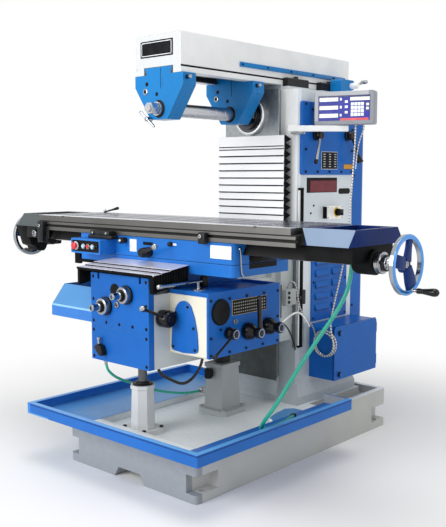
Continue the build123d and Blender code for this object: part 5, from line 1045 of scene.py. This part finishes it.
# Feed levers and knobs: turned black phenolic on the feed cover, with a metal ring let into each face.
# The front one carries a thin bar with a thick end, the middle one a flat bar.
KNOB_FACE = FEED_FACE + 0.3
KNOB_SMALL = ((0.0, 23), (6, 25.5), (22, 25), (28, 18), (31, 15), (35, 22), (37, 23), (45, 23), (48, 20),
              (48, 16), (46.5, 15), (46.5, 9), (48, 8), (48, 3))
KNOB_LARGE = ((0.0, 33), (8, 36.5), (18, 37), (32, 34), (43, 26), (52, 18), (64, 23), (68, 24), (82, 24),
              (85, 21), (85, 17), (83.5, 16), (83.5, 9), (85, 8), (85, 3))
# Anodised face ring: a dull blue-grey metal
blue_ring = bare_metal("blue-grey anodised ring", "7f8da6", 0.3, (1, 1, 1), 3.0, 0.04)
feed_knobs = (("feed_lever_front", (-535, 677), KNOB_SMALL), ("feed_lever_middle", (-418, 670), KNOB_LARGE),
              ("feed_knob_back", (-284, 674), KNOB_LARGE))
for name, hub, outline in feed_knobs:
    form = bmesh.new()
    turned(form, (KNOB_FACE, *hub), RIGHT, outline, 36)
    if name == "feed_lever_middle":
        flat_bar = ((-428, 670), (-408, 670), (-414, 815), (-418, 827), (-430, 827), (-434, 815))
        plate(form, "x", (475, 487), flat_bar, 2)
    if name == "feed_lever_front":
        thin_bar = ((0.0, 5), (0.84, 5), (0.9, 7), (1.0, 8), (1.06, 6.5))
        bar_between(form, (443, *hub), (443, -655, 601), thin_bar, 16)
    piece(name + "_knob", form, phenolic, name, (name,))
    sunk = outline[-4][0]
    section = ((sunk - 1.2, 19.4), (sunk + 1.7, 19.4), (sunk + 1.7, 15), (sunk - 1, 13))
    build(name + "_ring", blue_ring, name, "steel",
          (turned, (KNOB_FACE, *hub), RIGHT, section, 36, True))

# Controls at the knee's front: a side lever on a ringed hub, two feed shafts with dials, a clamp and a pump.
# The side lever is black with a bright end, the clamp's bar and the pump's pin are chromed,
# and the dials are bright steel with cut marks, on black bases.
SIDE_HUB, SIDE_TIP = (-700, 735), (222, -838, 795)
build("side_lever_hub", phenolic, "side_lever", "black_plastic",
      (turned, (183.2, *SIDE_HUB), RIGHT, ((0, 30), (6, 36), (48, 36), (55, 33), (60, 29), (60, 23),
       (57, 22), (57, 14), (60, 12), (60, 4)), 36),
      (bar_between, (222, *SIDE_HUB), SIDE_TIP, ((0.0, 8), (0.8, 6.5), (0.9, 9), (0.95, 12.5),
       (1.01, 13.5)), 20), stands_for=("side_lever",))
build("side_lever_ball", bright_steel, "side_lever", "steel",
      (bar_between, (222, *SIDE_HUB), SIDE_TIP, ((1.0, 12.6), (1.03, 12.8), (1.06, 11), (1.09, 5)), 20))


MARKS, LONG_MARK_EACH, MARK_RISE, MARK_WIDE = 50, 5.0, 0.6, 0.9


def dial_tree():
    """A ring of cut marks round an axis, each fifth one longer."""
    sockets = (("Holder", "Geometry"), ("Marks", "Int"), ("Ring radius", "Float"), ("Mark length", "Float"),
               ("Mark width", "Float"), ("Centre", "Vector"), ("Turn", "Vector"), ("Finish", "Material"))
    tree, given = new_tree("dial_marks", "Ring", sockets)
    ring = add(tree, "GeometryNodeMeshCircle", {"Vertices": given["Marks"], "Radius": given["Ring radius"]})
    number = add(tree, "GeometryNodeInputIndex")
    share = reckon(tree, "DIVIDE", number, given["Marks"])
    spin = add(tree, "ShaderNodeCombineXYZ", {"Z": reckon(tree, "MULTIPLY", share, 2 * pi)})
    spin = add(tree, "FunctionNodeEulerToRotation", {0: spin})
    short = reckon(tree, "GREATER_THAN", reckon(tree, "MODULO", number, LONG_MARK_EACH), 0.5)
    size = add(tree, "ShaderNodeCombineXYZ", {"X": 1.0, "Y": 1.0, "Z": spread(tree, short, 1.7, 1.0)})
    shape = add(tree, "ShaderNodeCombineXYZ", {"X": MARK_RISE * MM, "Y": given["Mark width"],
                                               "Z": given["Mark length"]})
    mark = add(tree, "GeometryNodeMeshCube", {"Size": shape})
    marks = add(tree, "GeometryNodeInstanceOnPoints", {"Points": ring, "Instance": mark, "Rotation": spin,
                                                       "Scale": size})
    turn = add(tree, "FunctionNodeEulerToRotation", {0: given["Turn"]})
    marks = add(tree, "GeometryNodeTransform", {"Geometry": marks, "Translation": given["Centre"],
                                                "Rotation": turn})
    return give(tree, "Ring", marks, given["Finish"])


dial_nodes = dial_tree()


def dial_marks(name, centre, way, radius, length, body):
    """Cut and blacked marks round a dial."""
    holder = bpy.data.objects.new(name + " holder", bpy.data.meshes.new(name + " holder"))
    scene.collection.objects.link(holder)
    values = {"Marks": MARKS, "Ring radius": (radius + 0.1) * MM, "Mark length": length * MM,
              "Mark width": MARK_WIDE * MM, "Centre": tuple(Vector(centre) * MM),
              "Turn": tuple(aim(way).to_euler()), "Finish": black_plate}
    mesh = evaluate(holder, dial_nodes, values)
    bpy.data.objects.remove(holder)
    piece(name, mesh, black_plate, body)


# Chromed steel: mirror bright, with a trace of polishing lines
chrome = bare_metal("chromed steel", "a4a9ae", 0.1, (1, 1, 1), 3.0, 0.03, 0.8)
for name, (x, z) in (("cross_feed_shaft", (50, 826)), ("lift_feed_shaft", (-83, 766))):
    build(name + "_dial", bright_steel, name, "steel",
          (turned, (x, PLATE_FACE - 11.5, z), FRONT, ((0, 32), (1, 36), (15, 36), (18, 35), (21.5, 30),
           (21.5, 26), (20, 25.5), (20, 20)), 48), stands_for=(name,))
    build(name + "_hub", black_steel, name, "black_plastic",
          (turned, (x, PLATE_FACE - 0.3, z), FRONT,
           ((0, 38), (2, 40), (10, 40), (12, 37), (12, 30)), 40),
          (turned, (x, PLATE_FACE - 30, z), FRONT, ((0, 25), (2, 25), (3, 22), (14, 22), (16, 20),
           (16, 14)), 36))
    build(name + "_end", chrome, name, "steel",
          (turned, (x, PLATE_FACE - 44, z), FRONT, ((0, 19), (4, 19), (5, 15), (36, 15), (40, 12),
           (40, 8), (30, 7)), 28))
    dial_marks(name + "_marks", (x, PLATE_FACE - 18, z), FRONT, 36, 5, name)

CLAMP_X, CLAMP_Y, CLAMP_Z, CLAMP_TIP = 262, -525, 880, -785
build("saddle_clamp_post", black_steel, "saddle_clamp", "steel",
      (slab, (CLAMP_X - 15, CLAMP_Y - 12, 853.2), (CLAMP_X + 15, CLAMP_Y + 12, 900), 4, 2),
      (turned, (CLAMP_X, CLAMP_Y, 899), UP, ((0, 12), (4, 12), (5.5, 9)), 24),
      stands_for=("saddle_clamp",))
build("saddle_clamp_bar", chrome, "saddle_clamp", "chrome",
      (bar_between, (CLAMP_X, CLAMP_Y, CLAMP_Z), (CLAMP_X, CLAMP_TIP, CLAMP_Z),
       ((0.0, 8), (0.9, 7), (0.95, 9), (1.0, 11), (1.03, 9), (1.04, 4)), 20))
PUMP_X, PUMP_Y = -112.0, (-800.0, -770.2)
lean = ((-136, 582), (-132, 592), (-106, 597), (-94, 592), (-82, 566), (-86, 550), (-104, 551))
build("pump_block", black_steel, "pump_handle", "black_plastic",
      (plate, "y", PUMP_Y, lean, 3, 2),
      (turned, (PUMP_X - 6, -785, 592), UP, ((0, 10), (6, 10), (7, 7)), 20),
      stands_for=("pump_handle",))
build("pump_pin", chrome, "pump_handle", "steel",
      (turned, (PUMP_X - 6, -785, 596), UP, ((0, 6), (18, 6), (21, 8), (26, 8.5), (31, 7.5),
       (33, 4)), 24))

# Saddle and swivel housing: two blue castings, the upper one turning on the lower one.
# Small controls, an oiler and bare plates are screwed to the front; an oil pipe runs down the right side.
HOUSE_FACE = -592.0
# Blue enamel on the saddle: the machine's blue, a little lighter as painted light where the table shades it
saddle_blue = enamel("light mid blue machine enamel", "2273cc", 0.3, edge_wear_and_highlight="6fb0f0", edge_reach=0.8, shine=0.2)
dress(saddle_blue, "saddle", "swivel_housing")


def front_plate(name, y, x, z, finish, body, thick=1.6, edge=0.5):
    """A plate on a face that looks to the front."""
    build(name, finish, body, None, (slab, (x[0], y - thick, z[0]), (x[1], y + 0.3, z[1]), edge, 1))


front_plate("housing_plate", HOUSE_FACE, (361, 474), (988, 1041), white_plate, "swivel")
front_plate("feed_note_plate", HOUSE_FACE, (-127, -82), (986, 1041), pale_plate, "swivel")
front_plate("way_plate", HOUSE_FACE, (-38, 21), (1020, 1033), black_plate, "swivel", 3.0)
build("housing_knobs", black_steel, "swivel", "black_plastic",
      (turned, (-155, HOUSE_FACE + 0.3, 1034), FRONT, ((0, 12), (14, 13), (18, 15), (30, 15), (33, 12),
       (33, 6)), 28),
      (turned, (135, HOUSE_FACE + 0.3, 1032), FRONT,
       ((0, 9), (5, 10), (14, 10), (17, 8), (18, 4)), 24))
build("housing_oiler", white_plate, "swivel", "pale_plastic",
      (slab, (147, HOUSE_FACE - 3, 1027), (168, HOUSE_FACE + 0.3, 1036), 2),
      (turned, (-155, HOUSE_FACE - 31, 1034), FRONT, ((0, 5), (6, 5), (8, 3)), 16))
# A black block in the housing's side pocket and a black sheet below it on the saddle are painted shade
build("housing_pocket", black_plate, "swivel", "black_plastic",
      (slab, (446.5, -494, 967.2), (484.6, -315, 1003), 1.5))
build("saddle_pocket", black_plate, "saddle", "black_plastic",
      (slab, (483.8, -494, 944), (484.6, -315, 964.9), 0.3, 1))
# A black wiper at the saddle's left end; the black strip along its front under the control box is painted
# shade
build("saddle_wiper", bellows_finish, "saddle", "black_plastic",
      (slab, (-524, HOUSE_FACE + 0.5, 905), (-484.2, HOUSE_FACE + 16, 962), 2),
      (slab, (-484, HOUSE_FACE - 4, 915.5), (-230, HOUSE_FACE + 0.3, 930), 1.5))
build("oil_pipe", chrome, "swivel", "chrome",
      (swept, spline_line(((486, -555, 1030), (490, -555, 1022), (490, -553, 980), (490, -550, 940),
       (490, -543, 921), (489, -520, 912), (487, -480, 908), (484, -440, 906))), 3.4, 10),
      (turned, (483.5, -555, 1030), RIGHT, ((0, 7), (6, 7), (9, 5), (10, 2)), 16))

# Control box: a blue sheet box with a black panel, a red mushroom stop, three push buttons and a selector.
# Each button sits in a bright bezel; a black limit switch lies above it.
BOX_FACE, BUTTON_Z, STOP_X = -685.0, 1002, -394
dress(saddle_blue, "control_box")
# Pale blue moulded plastic: light, with a gloss
pale_button = moulded("pale blue moulded plastic", "a9d4e8", 0.3, 3.0, 0.04)
BUTTONS = (("button_left", -337, pale_button), ("button_middle", -305, red_plastic),
           ("button_right", -273, pale_button))
for name, x, finish in BUTTONS:
    build(name + "_cap", finish, name, None,
          (turned, (x, BOX_FACE + 2.4, BUTTON_Z), FRONT,
           ((0, 9), (8, 9), (9.4, 8), (9.8, 5), (9.4, 2)), 28), stands_for=(name,))
build("stop_button_head", red_plastic, "stop_button", "red_plastic",
      (turned, (STOP_X, BOX_FACE + 2.4, BUTTON_Z), FRONT, ((0, 9), (10, 9), (10.8, 15.5), (13, 17), (17, 16),
       (20, 12), (21, 5)), 36), stands_for=("stop_button",))
build("control_panel", black_plate, "swivel", "black_plastic",
      (slab, (-419.6, BOX_FACE + 0.6, 977.4), (-230.4, BOX_FACE + 2.2, 1027.6), 0.4, 1))
bezel = ((0, 9.4), (0, 12.4), (3.4, 12.4), (4.4, 11.6), (4.4, 9.4))
build("button_bezels", bright_steel, "swivel", "steel",
      *[(turned, (x, BOX_FACE + 0.7, BUTTON_Z), FRONT, bezel, 28, True) for name, x, finish in BUTTONS])
build("stop_collar", pale_plate, "swivel", "pale_plastic",
      (turned, (STOP_X, BOX_FACE + 0.7, BUTTON_Z), FRONT, ((0, 9.4), (0, 19), (1, 19), (1.6, 17),
       (1.6, 9.4)), 28, True))
build("box_selector", phenolic, "swivel", "black_plastic",
      (turned, (-249, BOX_FACE + 0.7, BUTTON_Z), FRONT, ((0, 9), (5, 9), (6, 7), (6, 4)), 24),
      (slab, (-251.5, BOX_FACE - 11, 993), (-246.5, BOX_FACE - 4, 1011), 1.5))
build("limit_switch", black_steel, "swivel", "black_plastic",
      (slab, (-360, -642, 1036.2), (-196, -602.5, 1052), 3),
      (slab, (-346, -640, 1050), (-214, -603.5, 1072), 4, 2))
screws("limit_switch_bolts", [(-326, -640, 1062), (-232, -640, 1062)], 6, FRONT, "swivel", bright_steel)
TRIP_HUB, TRIP_ROOT, TRIP_TIP = (0, -592.2, 990), (0, -636, 990), (117, -672, 1024)
build("trip_lever_hub", black_steel, "table_trip_lever", "black_plastic",
      (turned, TRIP_HUB, FRONT, ((0, 22), (40, 22), (52, 19), (56, 15), (56, 6)), 32),
      (bar_between, TRIP_ROOT, TRIP_TIP, ((0.0, 9), (0.8, 7), (0.9, 9)), 16),
      stands_for=("table_trip_lever",))
build("trip_lever_ball", bright_steel, "table_trip_lever", "steel",
      (bar_between, TRIP_ROOT, TRIP_TIP, ((0.88, 8), (0.92, 11), (1.0, 13), (1.07, 11), (1.1, 5)), 24))

# Table: a ground cast-iron table with three T-slots; black stop dogs sit in the groove along its front.
# Grinding marks run along it; oil has darkened the front, and painted shade blackens its grooves.
# Ground cast iron: grey-brown metal with lines along the table
table_iron = bare_metal("ground cast iron", "6b6a68", 0.36, (0, 1, 1), 2.5, 0.12, 0.72)
# Grooves, T-slots and the underside are black, partly with oil and partly as painted shade
oil_and_shade_zones = [{"Z": (900, 1054.5)}, {"Y": (-601, -560), "Z": (1071.6, 1084.4)},
          {"Y": (-601, -560), "Z": (1095.6, 1100.4)}]
oil_and_shade_zones += [{"Y": (y - 16, y + 16), "Z": (1080, 1126.4)} for y in (-490, -400, -310)]
second_tone(table_iron, oil_and_shade_zones, "030303", "0a0a0a", 0.7, 0.0)
# The top is ground bright with a painted blue-grey sheen, and its front edge has a painted highlight
second_tone(table_iron, [{"Z": (1126.6, 1128)}], "565a66", "8d93a2", 0.24, 1.0)
second_tone(table_iron, [{"Y": (-601, -566), "Z": (1126.6, 1128)}], "e4e4ee", "fafaff", 0.3, 0.4)
dress(table_iron, "table")
TABLE_FRONT, DOG_OUT = -600.0, 24.0
DOG_BOXES = (((320, 356), (1045, 1092)), ((-776, -734), (994, 1096)))
build("stop_dogs", black_steel, "table", "black_plastic",
      *[(slab, (x[0], TABLE_FRONT - DOG_OUT, z[0]), (x[1], TABLE_FRONT - 0.2, z[1]), 3, 2)
        for x, z in DOG_BOXES],
      *[(slab, (x[0] + 8, TABLE_FRONT - 8, z[1] - 20), (x[1] - 8, TABLE_FRONT + 8, z[1] - 12), 1)
        for x, z in DOG_BOXES])
spots = [(x, TABLE_FRONT - DOG_OUT, 1076) for x in (335, -755)]
screws("stop_dog_screws", spots, 9, FRONT, "table", bright_steel)

LEVER_Y = -212.0
build("table_rear_lever", black_steel, "table", "black_plastic",
      (turned, (-751, LEVER_Y, 1126.5), UP, ((0, 5), (6, 5), (7, 3)), 16),
      (bar_between, (-745, LEVER_Y, 1131), (-642, LEVER_Y, 1153),
       ((0.0, 4), (0.6, 5), (0.8, 7), (0.95, 8), (1.0, 5)), 16))
form = bmesh.new()
bmesh.ops.create_uvsphere(form, u_segments=20, v_segments=12, radius=9 * MM,
                          matrix=Matrix.Translation(Vector((-753, LEVER_Y, 1139)) * MM))
piece("table_rear_ball", form, pale_plate, "table")

# Table ends: a navy trough above a black bearing casting at the right, a dark grey bracket at the left.
# The trough's sloping front is a thin sheet painted paler as painted light; a black casting sits at the
# bracket's outer end.
# Navy enamel: deep blue with little shine
navy = enamel("navy machine enamel", "0f2a66", 0.25, 7.0, 0.1, "6d7fae", 0.3, 0.08)
# Dark navy enamel of the spokes: a touch lighter than the trough
spoke_blue = enamel("dark navy wheel enamel", "10306f", 0.3, 7.0, 0.1, "4a5a88", 0.3, 0.08)
# Dark grey enamel of the left bracket: a cool grey, nearly black on its lower part
bracket_grey = enamel("dark grey machine enamel", "4b5355", 0.4, 9.0, 0.2, "7a8284", 0.3, 0.25)
second_tone(bracket_grey, [{"Z": (900, 1066)}], "08090a", "121416", 0.5, 0.0)
# Black enamel on rough castings: dull, with almost no shine
black_casting = moulded("black enamel on cast iron", "0c0d0e", 0.55, 8.0, 0.3, 0.1)
dress(navy, "end_trough")
dress(bracket_grey, "bracket_left")
# Rolled lead screw: brighter than the lifting screw as painted light, since it lies in the table's shade
lead_steel = bare_metal("bright rolled screw steel", "a3a29d", 0.3, (1, 0, 0), 8.0, 0.8)
dress(black_casting, "bearing_right")
dress(lead_steel, "lead_screw")
casting = ((-540, 1065), (-520, 1014), (-503, 960), (-472, 948), (-466, 928), (-422, 923), (-408, 938),
           (-402, 954), (-310, 954), (-306, 975), (-306, 1065))
build("bracket_casting", black_casting, "table", "black_plastic",
      (plate, "x", (-1088, -1000.2), casting, 5, 2))
build("bracket_plug", chrome, "table", "chrome",
      (turned, (-906, -539.8, 1028), FRONT,
       ((0, 17), (6, 18), (12, 18), (14, 16), (14, 11), (9, 10)), 28),
      (turned, (-823, -548, 1002), UP, ((0, 3), (1, 4), (34, 4), (36, 6), (42, 6), (44, 3)), 16))


def hull(form, corners):
    """Adds a flat-sided solid round its corner points in millimetres."""
    before = len(form.verts)
    for corner in corners:
        form.verts.new(Vector(corner) * MM)
    form.verts.ensure_lookup_table()
    bmesh.ops.convex_hull(form, input=form.verts[before:])


# Steel blue enamel of the trough's sloping front: grey-blue, with the light it catches from above painted in
steel_blue = enamel("steel blue machine enamel", "8397b2", 0.3, 7.0, 0.1)
left_edge = ((786, -545, 1126.8), (840, -590, 1066.4))
right_edge = ((1019, -545, 1126.8), (1019, -590, 1066.4))
build("trough_front", steel_blue, "table", "blue_paint",
      (hull, [(x, y - out, z + out) for x, y, z in left_edge + right_edge for out in (0.0, 0.8)]))

# Handwheels: chromed rims on navy spokes, with a bright steel dial and a black handle on a bright stem.
# Each wheel is a rim on three spokes of different widths, a hub with a marked dial, and a handle.
SPINDLE_Y, LEAD_Z = -400.0, 1002.0
RIM = ((-9, 93), (-11, 97), (-11, 107), (-7, 111), (7, 111), (11, 107), (11, 97), (9, 93))
SPOKES, GRIP_TURN, WHEEL_MIDDLE = ((-66.0, 32.0), (80.0, 17.0), (166.0, 24.0)), -72.0, (1142.0, -1148.0)
# Chromed rim: bright, with a painted blue reflection on the side that looks away from the machine
rim_chrome = bare_metal("chromed wheel rim", "a4a9ae", 0.1, (1, 1, 1), 3.0, 0.03, 0.8)
sides = [{"X": (WHEEL_MIDDLE[0] + 7.5, WHEEL_MIDDLE[0] + 12)},
         {"X": (WHEEL_MIDDLE[1] - 12, WHEEL_MIDDLE[1] - 7.5)}]
second_tone(rim_chrome, sides, "3f86d6", "62a6ea", 0.15, 0.7)


def handwheel(name, middle, side, dial):
    """Rim, spokes, dial and handle of one wheel; side is the way its handle points."""
    centre = Vector((middle, SPINDLE_Y, LEAD_Z))
    out = Vector((side, 0, 0))
    form = bmesh.new()
    turned(form, centre, RIGHT, RIM, 72, True)
    bmesh.ops.recalc_face_normals(form, faces=form.faces)
    piece(name + "_rim", form, rim_chrome, name, (name,))
    form = bmesh.new()
    for turn, half in SPOKES:
        spoke = ((12, -24), (60, -half), (96, -half), (96, half), (60, half), (12, 24))
        before = len(form.verts)
        plate(form, "x", (-6, 6), spoke, 2.5, 2)
        form.verts.ensure_lookup_table()
        spin = Matrix.Translation(centre * MM) @ Matrix.Rotation(radians(turn), 4, "X")
        bmesh.ops.transform(form, matrix=spin, verts=form.verts[before:])
    turned(form, centre - out * 24, out, ((0, 24), (2, 30), (20, 30), (24, 28), (24, 15)), 32)
    piece(name + "_spokes", form, spoke_blue, name)
    spot = centre + Vector((0, 100 * cos(radians(GRIP_TURN)), 100 * sin(radians(GRIP_TURN))))
    build(name + "_dial", bright_steel, name, "chrome",
          (turned, centre, out, ((-2, 14), (3, 13), (4, 9), (1, 8)), 24),
          (turned, centre, out, dial, 40),
          (turned, spot, out, ((-12, 9), (10, 9), (12, 6.5), (24, 6), (26, 8), (28, 8)), 24))
    neck = dial[-5][0]
    grip = ((27, 7), (29, 10), (34, 10.5), (48, 9.5), (70, 12), (92, 15), (102, 14.5), (109, 11), (113, 5))
    build(name + "_grip", phenolic, name, "black_plastic",
          (turned, centre, out, [(neck - 1, 20), (neck - 1, 31), (neck + 9, 31), (neck + 10, 20)], 32),
          (turned, spot, out, grip, 28))
    dial_marks(name + "_marks", centre + out * dial[2][0] * 0.88, RIGHT, dial[2][1], 6, name)


LONG_DIAL = ((-117.5, 37), (-115, 40), (-112, 41), (-93, 41), (-90, 38), (-88, 33), (-88, 26), (-76, 24),
             (-72, 18), (-60, 14), (-10, 14))
SHORT_DIAL = ((-57.5, 31), (-56, 35), (-54, 36), (-43, 36), (-41, 33), (-40, 26), (-30, 22), (-10, 20))
handwheel("handwheel_right", WHEEL_MIDDLE[0], 1, LONG_DIAL)
handwheel("handwheel_left", WHEEL_MIDDLE[1], -1, SHORT_DIAL)

# Spindle and arbor: a hardened spindle nose in the column, and a ground arbor with collars and a nut.
# The nose is dark inside its bright outer ring.
# Ground arbor: pale steel with fine rings
arbor_steel = bare_metal("ground arbor steel", "c2c4c8", 0.28, (0, 1, 0), 5.0, 0.06, 0.8)
# Oiled spindle nose: dark hardened steel
nose_steel = bare_metal("oiled spindle steel", "55565a", 0.25, (1, 0, 1), 4.0, 0.08, 0.6)
dress(nose_steel, "spindle")
dress(arbor_steel, "arbor")
SPINDLE_Z = 1607.0
# Turned and ground flange: pale bright metal, paler than steel as painted light, since it sits in the
# overarm's shade
flange_steel = bare_metal("ground flange steel", "e2e3e3", 0.3, (1, 0, 1), 5.0, 0.05, 0.9)
build("spindle_ring", flange_steel, "spindle", "chrome",
      (turned, (0, 94.5, SPINDLE_Z), FRONT, ((0, 78), (0, 92.4), (18, 92.4), (22, 89.5), (23.6, 87),
       (23.6, 79)), 72, True))
build("drive_keys", bright_steel, "spindle", "steel",
      *[(slab, (side * 46 - 9, 40.8, SPINDLE_Z - 13), (side * 46 + 9, 53, SPINDLE_Z + 13), 1.5, 2)
        for side in (-1, 1)])

# Overarm: a long pale casting with bare dovetail below; a blue strip covers the rack on its side.
# A plain dark plate sits on its front end, where nothing is written.
arm_front = -530.0
# Off-white enamel of the overarm: greyer on its front end, bare dark iron on the dovetail, darkened further
# as painted shade
arm_grey = enamel("off-white machine enamel", "eff1f1", 0.34, 9.0, 0.1, "f8f9f9", 0.3)
second_tone(arm_grey, [{"Y": (arm_front - 1, arm_front + 1)}], "c9cccd", "d2d5d6", 0.34, 0.0)
second_tone(arm_grey, [{"Z": (1700, 1753.9)}, {"X": (-90, 90), "Z": (1753, 1786)}], "34373a", "4c5053",
            0.4, 0.6)
dress(arm_grey, "overarm")
# Sky blue enamel: bright, with paler edges, partly worn and partly a painted highlight
sky_blue = enamel("sky blue machine enamel", "1079be", 0.28, edge_wear_and_highlight="8fd0fa", edge_reach=0.7, shine=0.25)
STRIP_X, STRIP_Y, STRIP_Z = (139.8, 148.0), (-159.0, 687.0), (1810.0, 1832.0)
build("rack_strip", sky_blue, "overarm", "blue_paint", (slab, *zip(STRIP_X, STRIP_Y, STRIP_Z), 3, 2))
spots = [(STRIP_X[1], STRIP_Y[0] + 14 + step * 181, 1821) for step in range(5)]
screws("rack_strip_screws", spots, 5, RIGHT, "overarm", black_steel)
build("arm_plate", black_plate, "overarm", "black_plastic",
      (slab, (-110, arm_front - 2, 1828), (90, arm_front + 0.3, 1898), 0.8, 1))
build("arm_plate_line", pale_plate, "overarm", "pale_plastic",
      *[(slab, (-103, arm_front - 2.5, low), (83, arm_front - 1.5, low + 3)) for low in (1834, 1889)],
      *[(slab, (left, arm_front - 2.5, 1834), (left + 3, arm_front - 1.5, 1892)) for left in (-103, 80)])
# Black strips along both sides of the overarm stand in its groove as painted shade
GROOVE_X, GROOVE_Y, GROOVE_Z = (135.2, 137.6), (-529.6, 728.6), (1777.4, 1784.6)
build("arm_groove", bellows_finish, "overarm", "black_plastic",
      *[(slab, *zip(sorted(side * x for x in GROOVE_X), GROOVE_Y, GROOVE_Z)) for side in (-1, 1)])

# Arbor supports: two sky blue castings that hang on the overarm's dovetail; bronze bushes carry the arbor.
# Each has an oil sight, sunk screws and a clamp bolt; the front one is locked with a tommy bar.
dress(sky_blue, "arbor_support_front", "arbor_support_rear")
# Bearing bronze: browned by oil, and darkened further as painted shade round the arbor
bronze = bare_metal("oiled bearing bronze with painted shade", "2e2a26", 0.4, (0, 1, 0), 4.0, 0.08)
SLIT_X, SLIT_Z = 14.0, (1692.0, 1780.0)
for name, face in (("arbor_support_front", arm_front), ("arbor_support_rear", -70.0)):
    build(name + "_bush", bronze, name, "steel",
          (turned, (0, face + 4, SPINDLE_Z), FRONT, ((0, 30.6), (0, 37.6), (5, 37.6), (6.5, 36),
           (6.5, 30.6)), 40, True))
    # Black discs in its holes, one behind the clamp bolt, and a black slit are painted shade; the black disc
    # in the chrome ring is the sight's dark middle
    build(name + "_holes", black_plate, name, "black_plastic",
          (turned, (-73, face + 0.4, 1716), FRONT, ((0, 9), (1.2, 9), (1.6, 7.5), (1.6, 2)), 20),
          (turned, (-11, face + 0.4, 1670), FRONT, ((0, 8.5), (1.2, 8.5), (1.6, 7), (1.6, 2)), 20),
          (turned, (-82, face + 0.4, 1684), FRONT, ((0, 9), (3.4, 9), (3.6, 7), (3.6, 2)), 24),
          (turned, (148.2, face + 24, 1734), RIGHT, ((0, 9), (5, 9), (6, 7), (6, 3)), 20),
          (slab, (SLIT_X - 1.2, face - 0.5, SLIT_Z[0]), (SLIT_X + 1.2, face + 0.4, SLIT_Z[1])))
    build(name + "_fittings", chrome, name, "chrome",
          (turned, (-82, face + 0.3, 1684), FRONT,
           ((0, 8), (0, 14), (3, 14), (4, 12.5), (4, 8)), 28, True),
          (turned, (154, face + 24, 1734), RIGHT, ((0, 6), (10, 6), (11, 8), (17, 8), (18, 6)), 20))
build("tommy_bar", chrome, "arbor_support_front", "chrome",
      (bar_between, (-93, arm_front - 22, 1598), (-5, arm_front - 22, 1530),
       ((0.0, 6), (0.03, 7.5), (0.1, 8), (0.16, 6), (0.95, 5.5), (1.0, 4)), 16),
      (turned, (-49, arm_front + 0.4, 1564), FRONT, ((0, 11), (14, 11), (30, 10), (32, 7)), 24))

# Overarm clamps and pinion drive: black clamp blocks along the column's top, a sky blue block behind them.
# A bright crank with a pale hub turns the pinion that slides the overarm.
# Black oxide clamps: near black above, with the column's pale enamel on their feet
clamp_black = moulded("black oxide clamp steel", "131416", 0.42, shine=0.25)
second_tone(clamp_black, [{"Z": (1700, 1748)}], "c9cdcf", "dfe3e4", 0.36, 0.0)
dress(clamp_black, "overarm_clamps")
dress(sky_blue, "pinion_block")
PINION_FACE, PINION_SPOT, CRANK_TIP = 240.1, (600, 1776), (274, 660, 1798)
build("crank_arm", chrome, "pinion_crank", "chrome",
      (bar_between, (274, *PINION_SPOT), CRANK_TIP, ((0.0, 9), (0.5, 7), (0.9, 8), (1.0, 9)), 20),
      stands_for=("pinion_crank",))
build("crank_grip", chrome, "pinion_crank", "chrome",
      (turned, (263, *CRANK_TIP[1:]), RIGHT,
       ((0, 7), (2, 9), (10, 9.8), (26, 10), (34, 9), (37, 6)), 24))
build("crank_hub", white_plate, "pinion_crank", "pale_plastic",
      (turned, (PINION_FACE, *PINION_SPOT), RIGHT, ((0, 13), (2, 15), (40, 15), (44, 13), (46, 8)), 28))

# Readout: a silver-grey case on an off-white arm; its face has displays, keys and a keypad, all left blank.
# The case is die-cast and sprayed; the face is a printed film behind clear lacquer.
READOUT_TURN, READOUT_X, READOUT_Y = radians(17), 422.01, 278.32
# Sprayed case: silver grey, with painted shade along its foot and at its right end
case_grey = enamel("silver-grey sprayed casting", "aeb2b8", 0.35, 6.0, 0.12, "e6e6e4", 0.3)
second_tone(case_grey, [{"Z": (1550, 1577.4)}, {"X": (541.5, 580)}], "767b85", "878c95", 0.35, 0.0)
dress(arm_grey, "readout_arm")
dress(case_grey, "readout")
# Printed films of the face: violet blue, dark blue and red under lacquer; the display windows are white
film = moulded("violet blue printed film", "2c3296", 0.25, 2.0, 0.02, 0.2)
dark_film = moulded("dark blue printed film", "20225e", 0.25, 2.0, 0.02)
glow_white = moulded("white display window", "eef0f2", 0.2, 2.0, 0.02)
red_film = moulded("red printed film", "d03a48", 0.25, 2.0, 0.02)
readout_seat = Matrix.Translation((READOUT_X * MM, READOUT_Y * MM, 0))
readout_seat @= Matrix.Rotation(READOUT_TURN, 4, "Z")
FACE_Y, FACE_Z, ROWS = -22.0, 1635.0, (41, 3, -34)


def on_face(name, boxes, rise, finish, edge=0.4):
    """Panels on the readout's face; each box is (left, right, foot, top) from the face's middle."""
    form = shaped(*[(slab, (left, FACE_Y - rise, FACE_Z + low), (right, FACE_Y + 0.4, FACE_Z + high), edge, 1)
                    for left, right, low, high in boxes])
    bmesh.ops.transform(form, matrix=readout_seat, verts=form.verts)
    piece(name, form, finish, "readout")


on_face("readout_film", [(-124.6, 124.6, -57.6, 57.6)], 0.4, film)
on_face("readout_band", [(-127, 127, 52, 60.5)], 0.7, dark_film)
bezels = [(-123, -26, row - 11, row + 11) for row in ROWS] + [(26, 125, 31, 51), (102, 123, -16, 24)]
on_face("readout_bezels", bezels, 0.8, dark_film)
windows = [(-120, -29, row - 9, row + 9) for row in ROWS] + [(29, 122, 33, 49)]
on_face("readout_windows", windows, 1.2, glow_white)
key_boxes = [(-20, -11, row - 6, row + 6) for row in (41, 4, -33)]
key_boxes += [(4, 18, row - 6, row + 6) for row in (29, 5, -20)]
key_boxes += [(33 + column * 16, 47 + column * 16, -39 + row * 16.5, -25 + row * 16.5)
              for column in range(4) for row in range(4)]
key_boxes += [(106, 119, 8, 20), (106, 119, -10, 2)]
on_face("readout_keys", key_boxes, 2.2, glow_white, 0.8)
on_face("readout_strip", [(-18, 118, -59, -47)], 0.8, red_film)
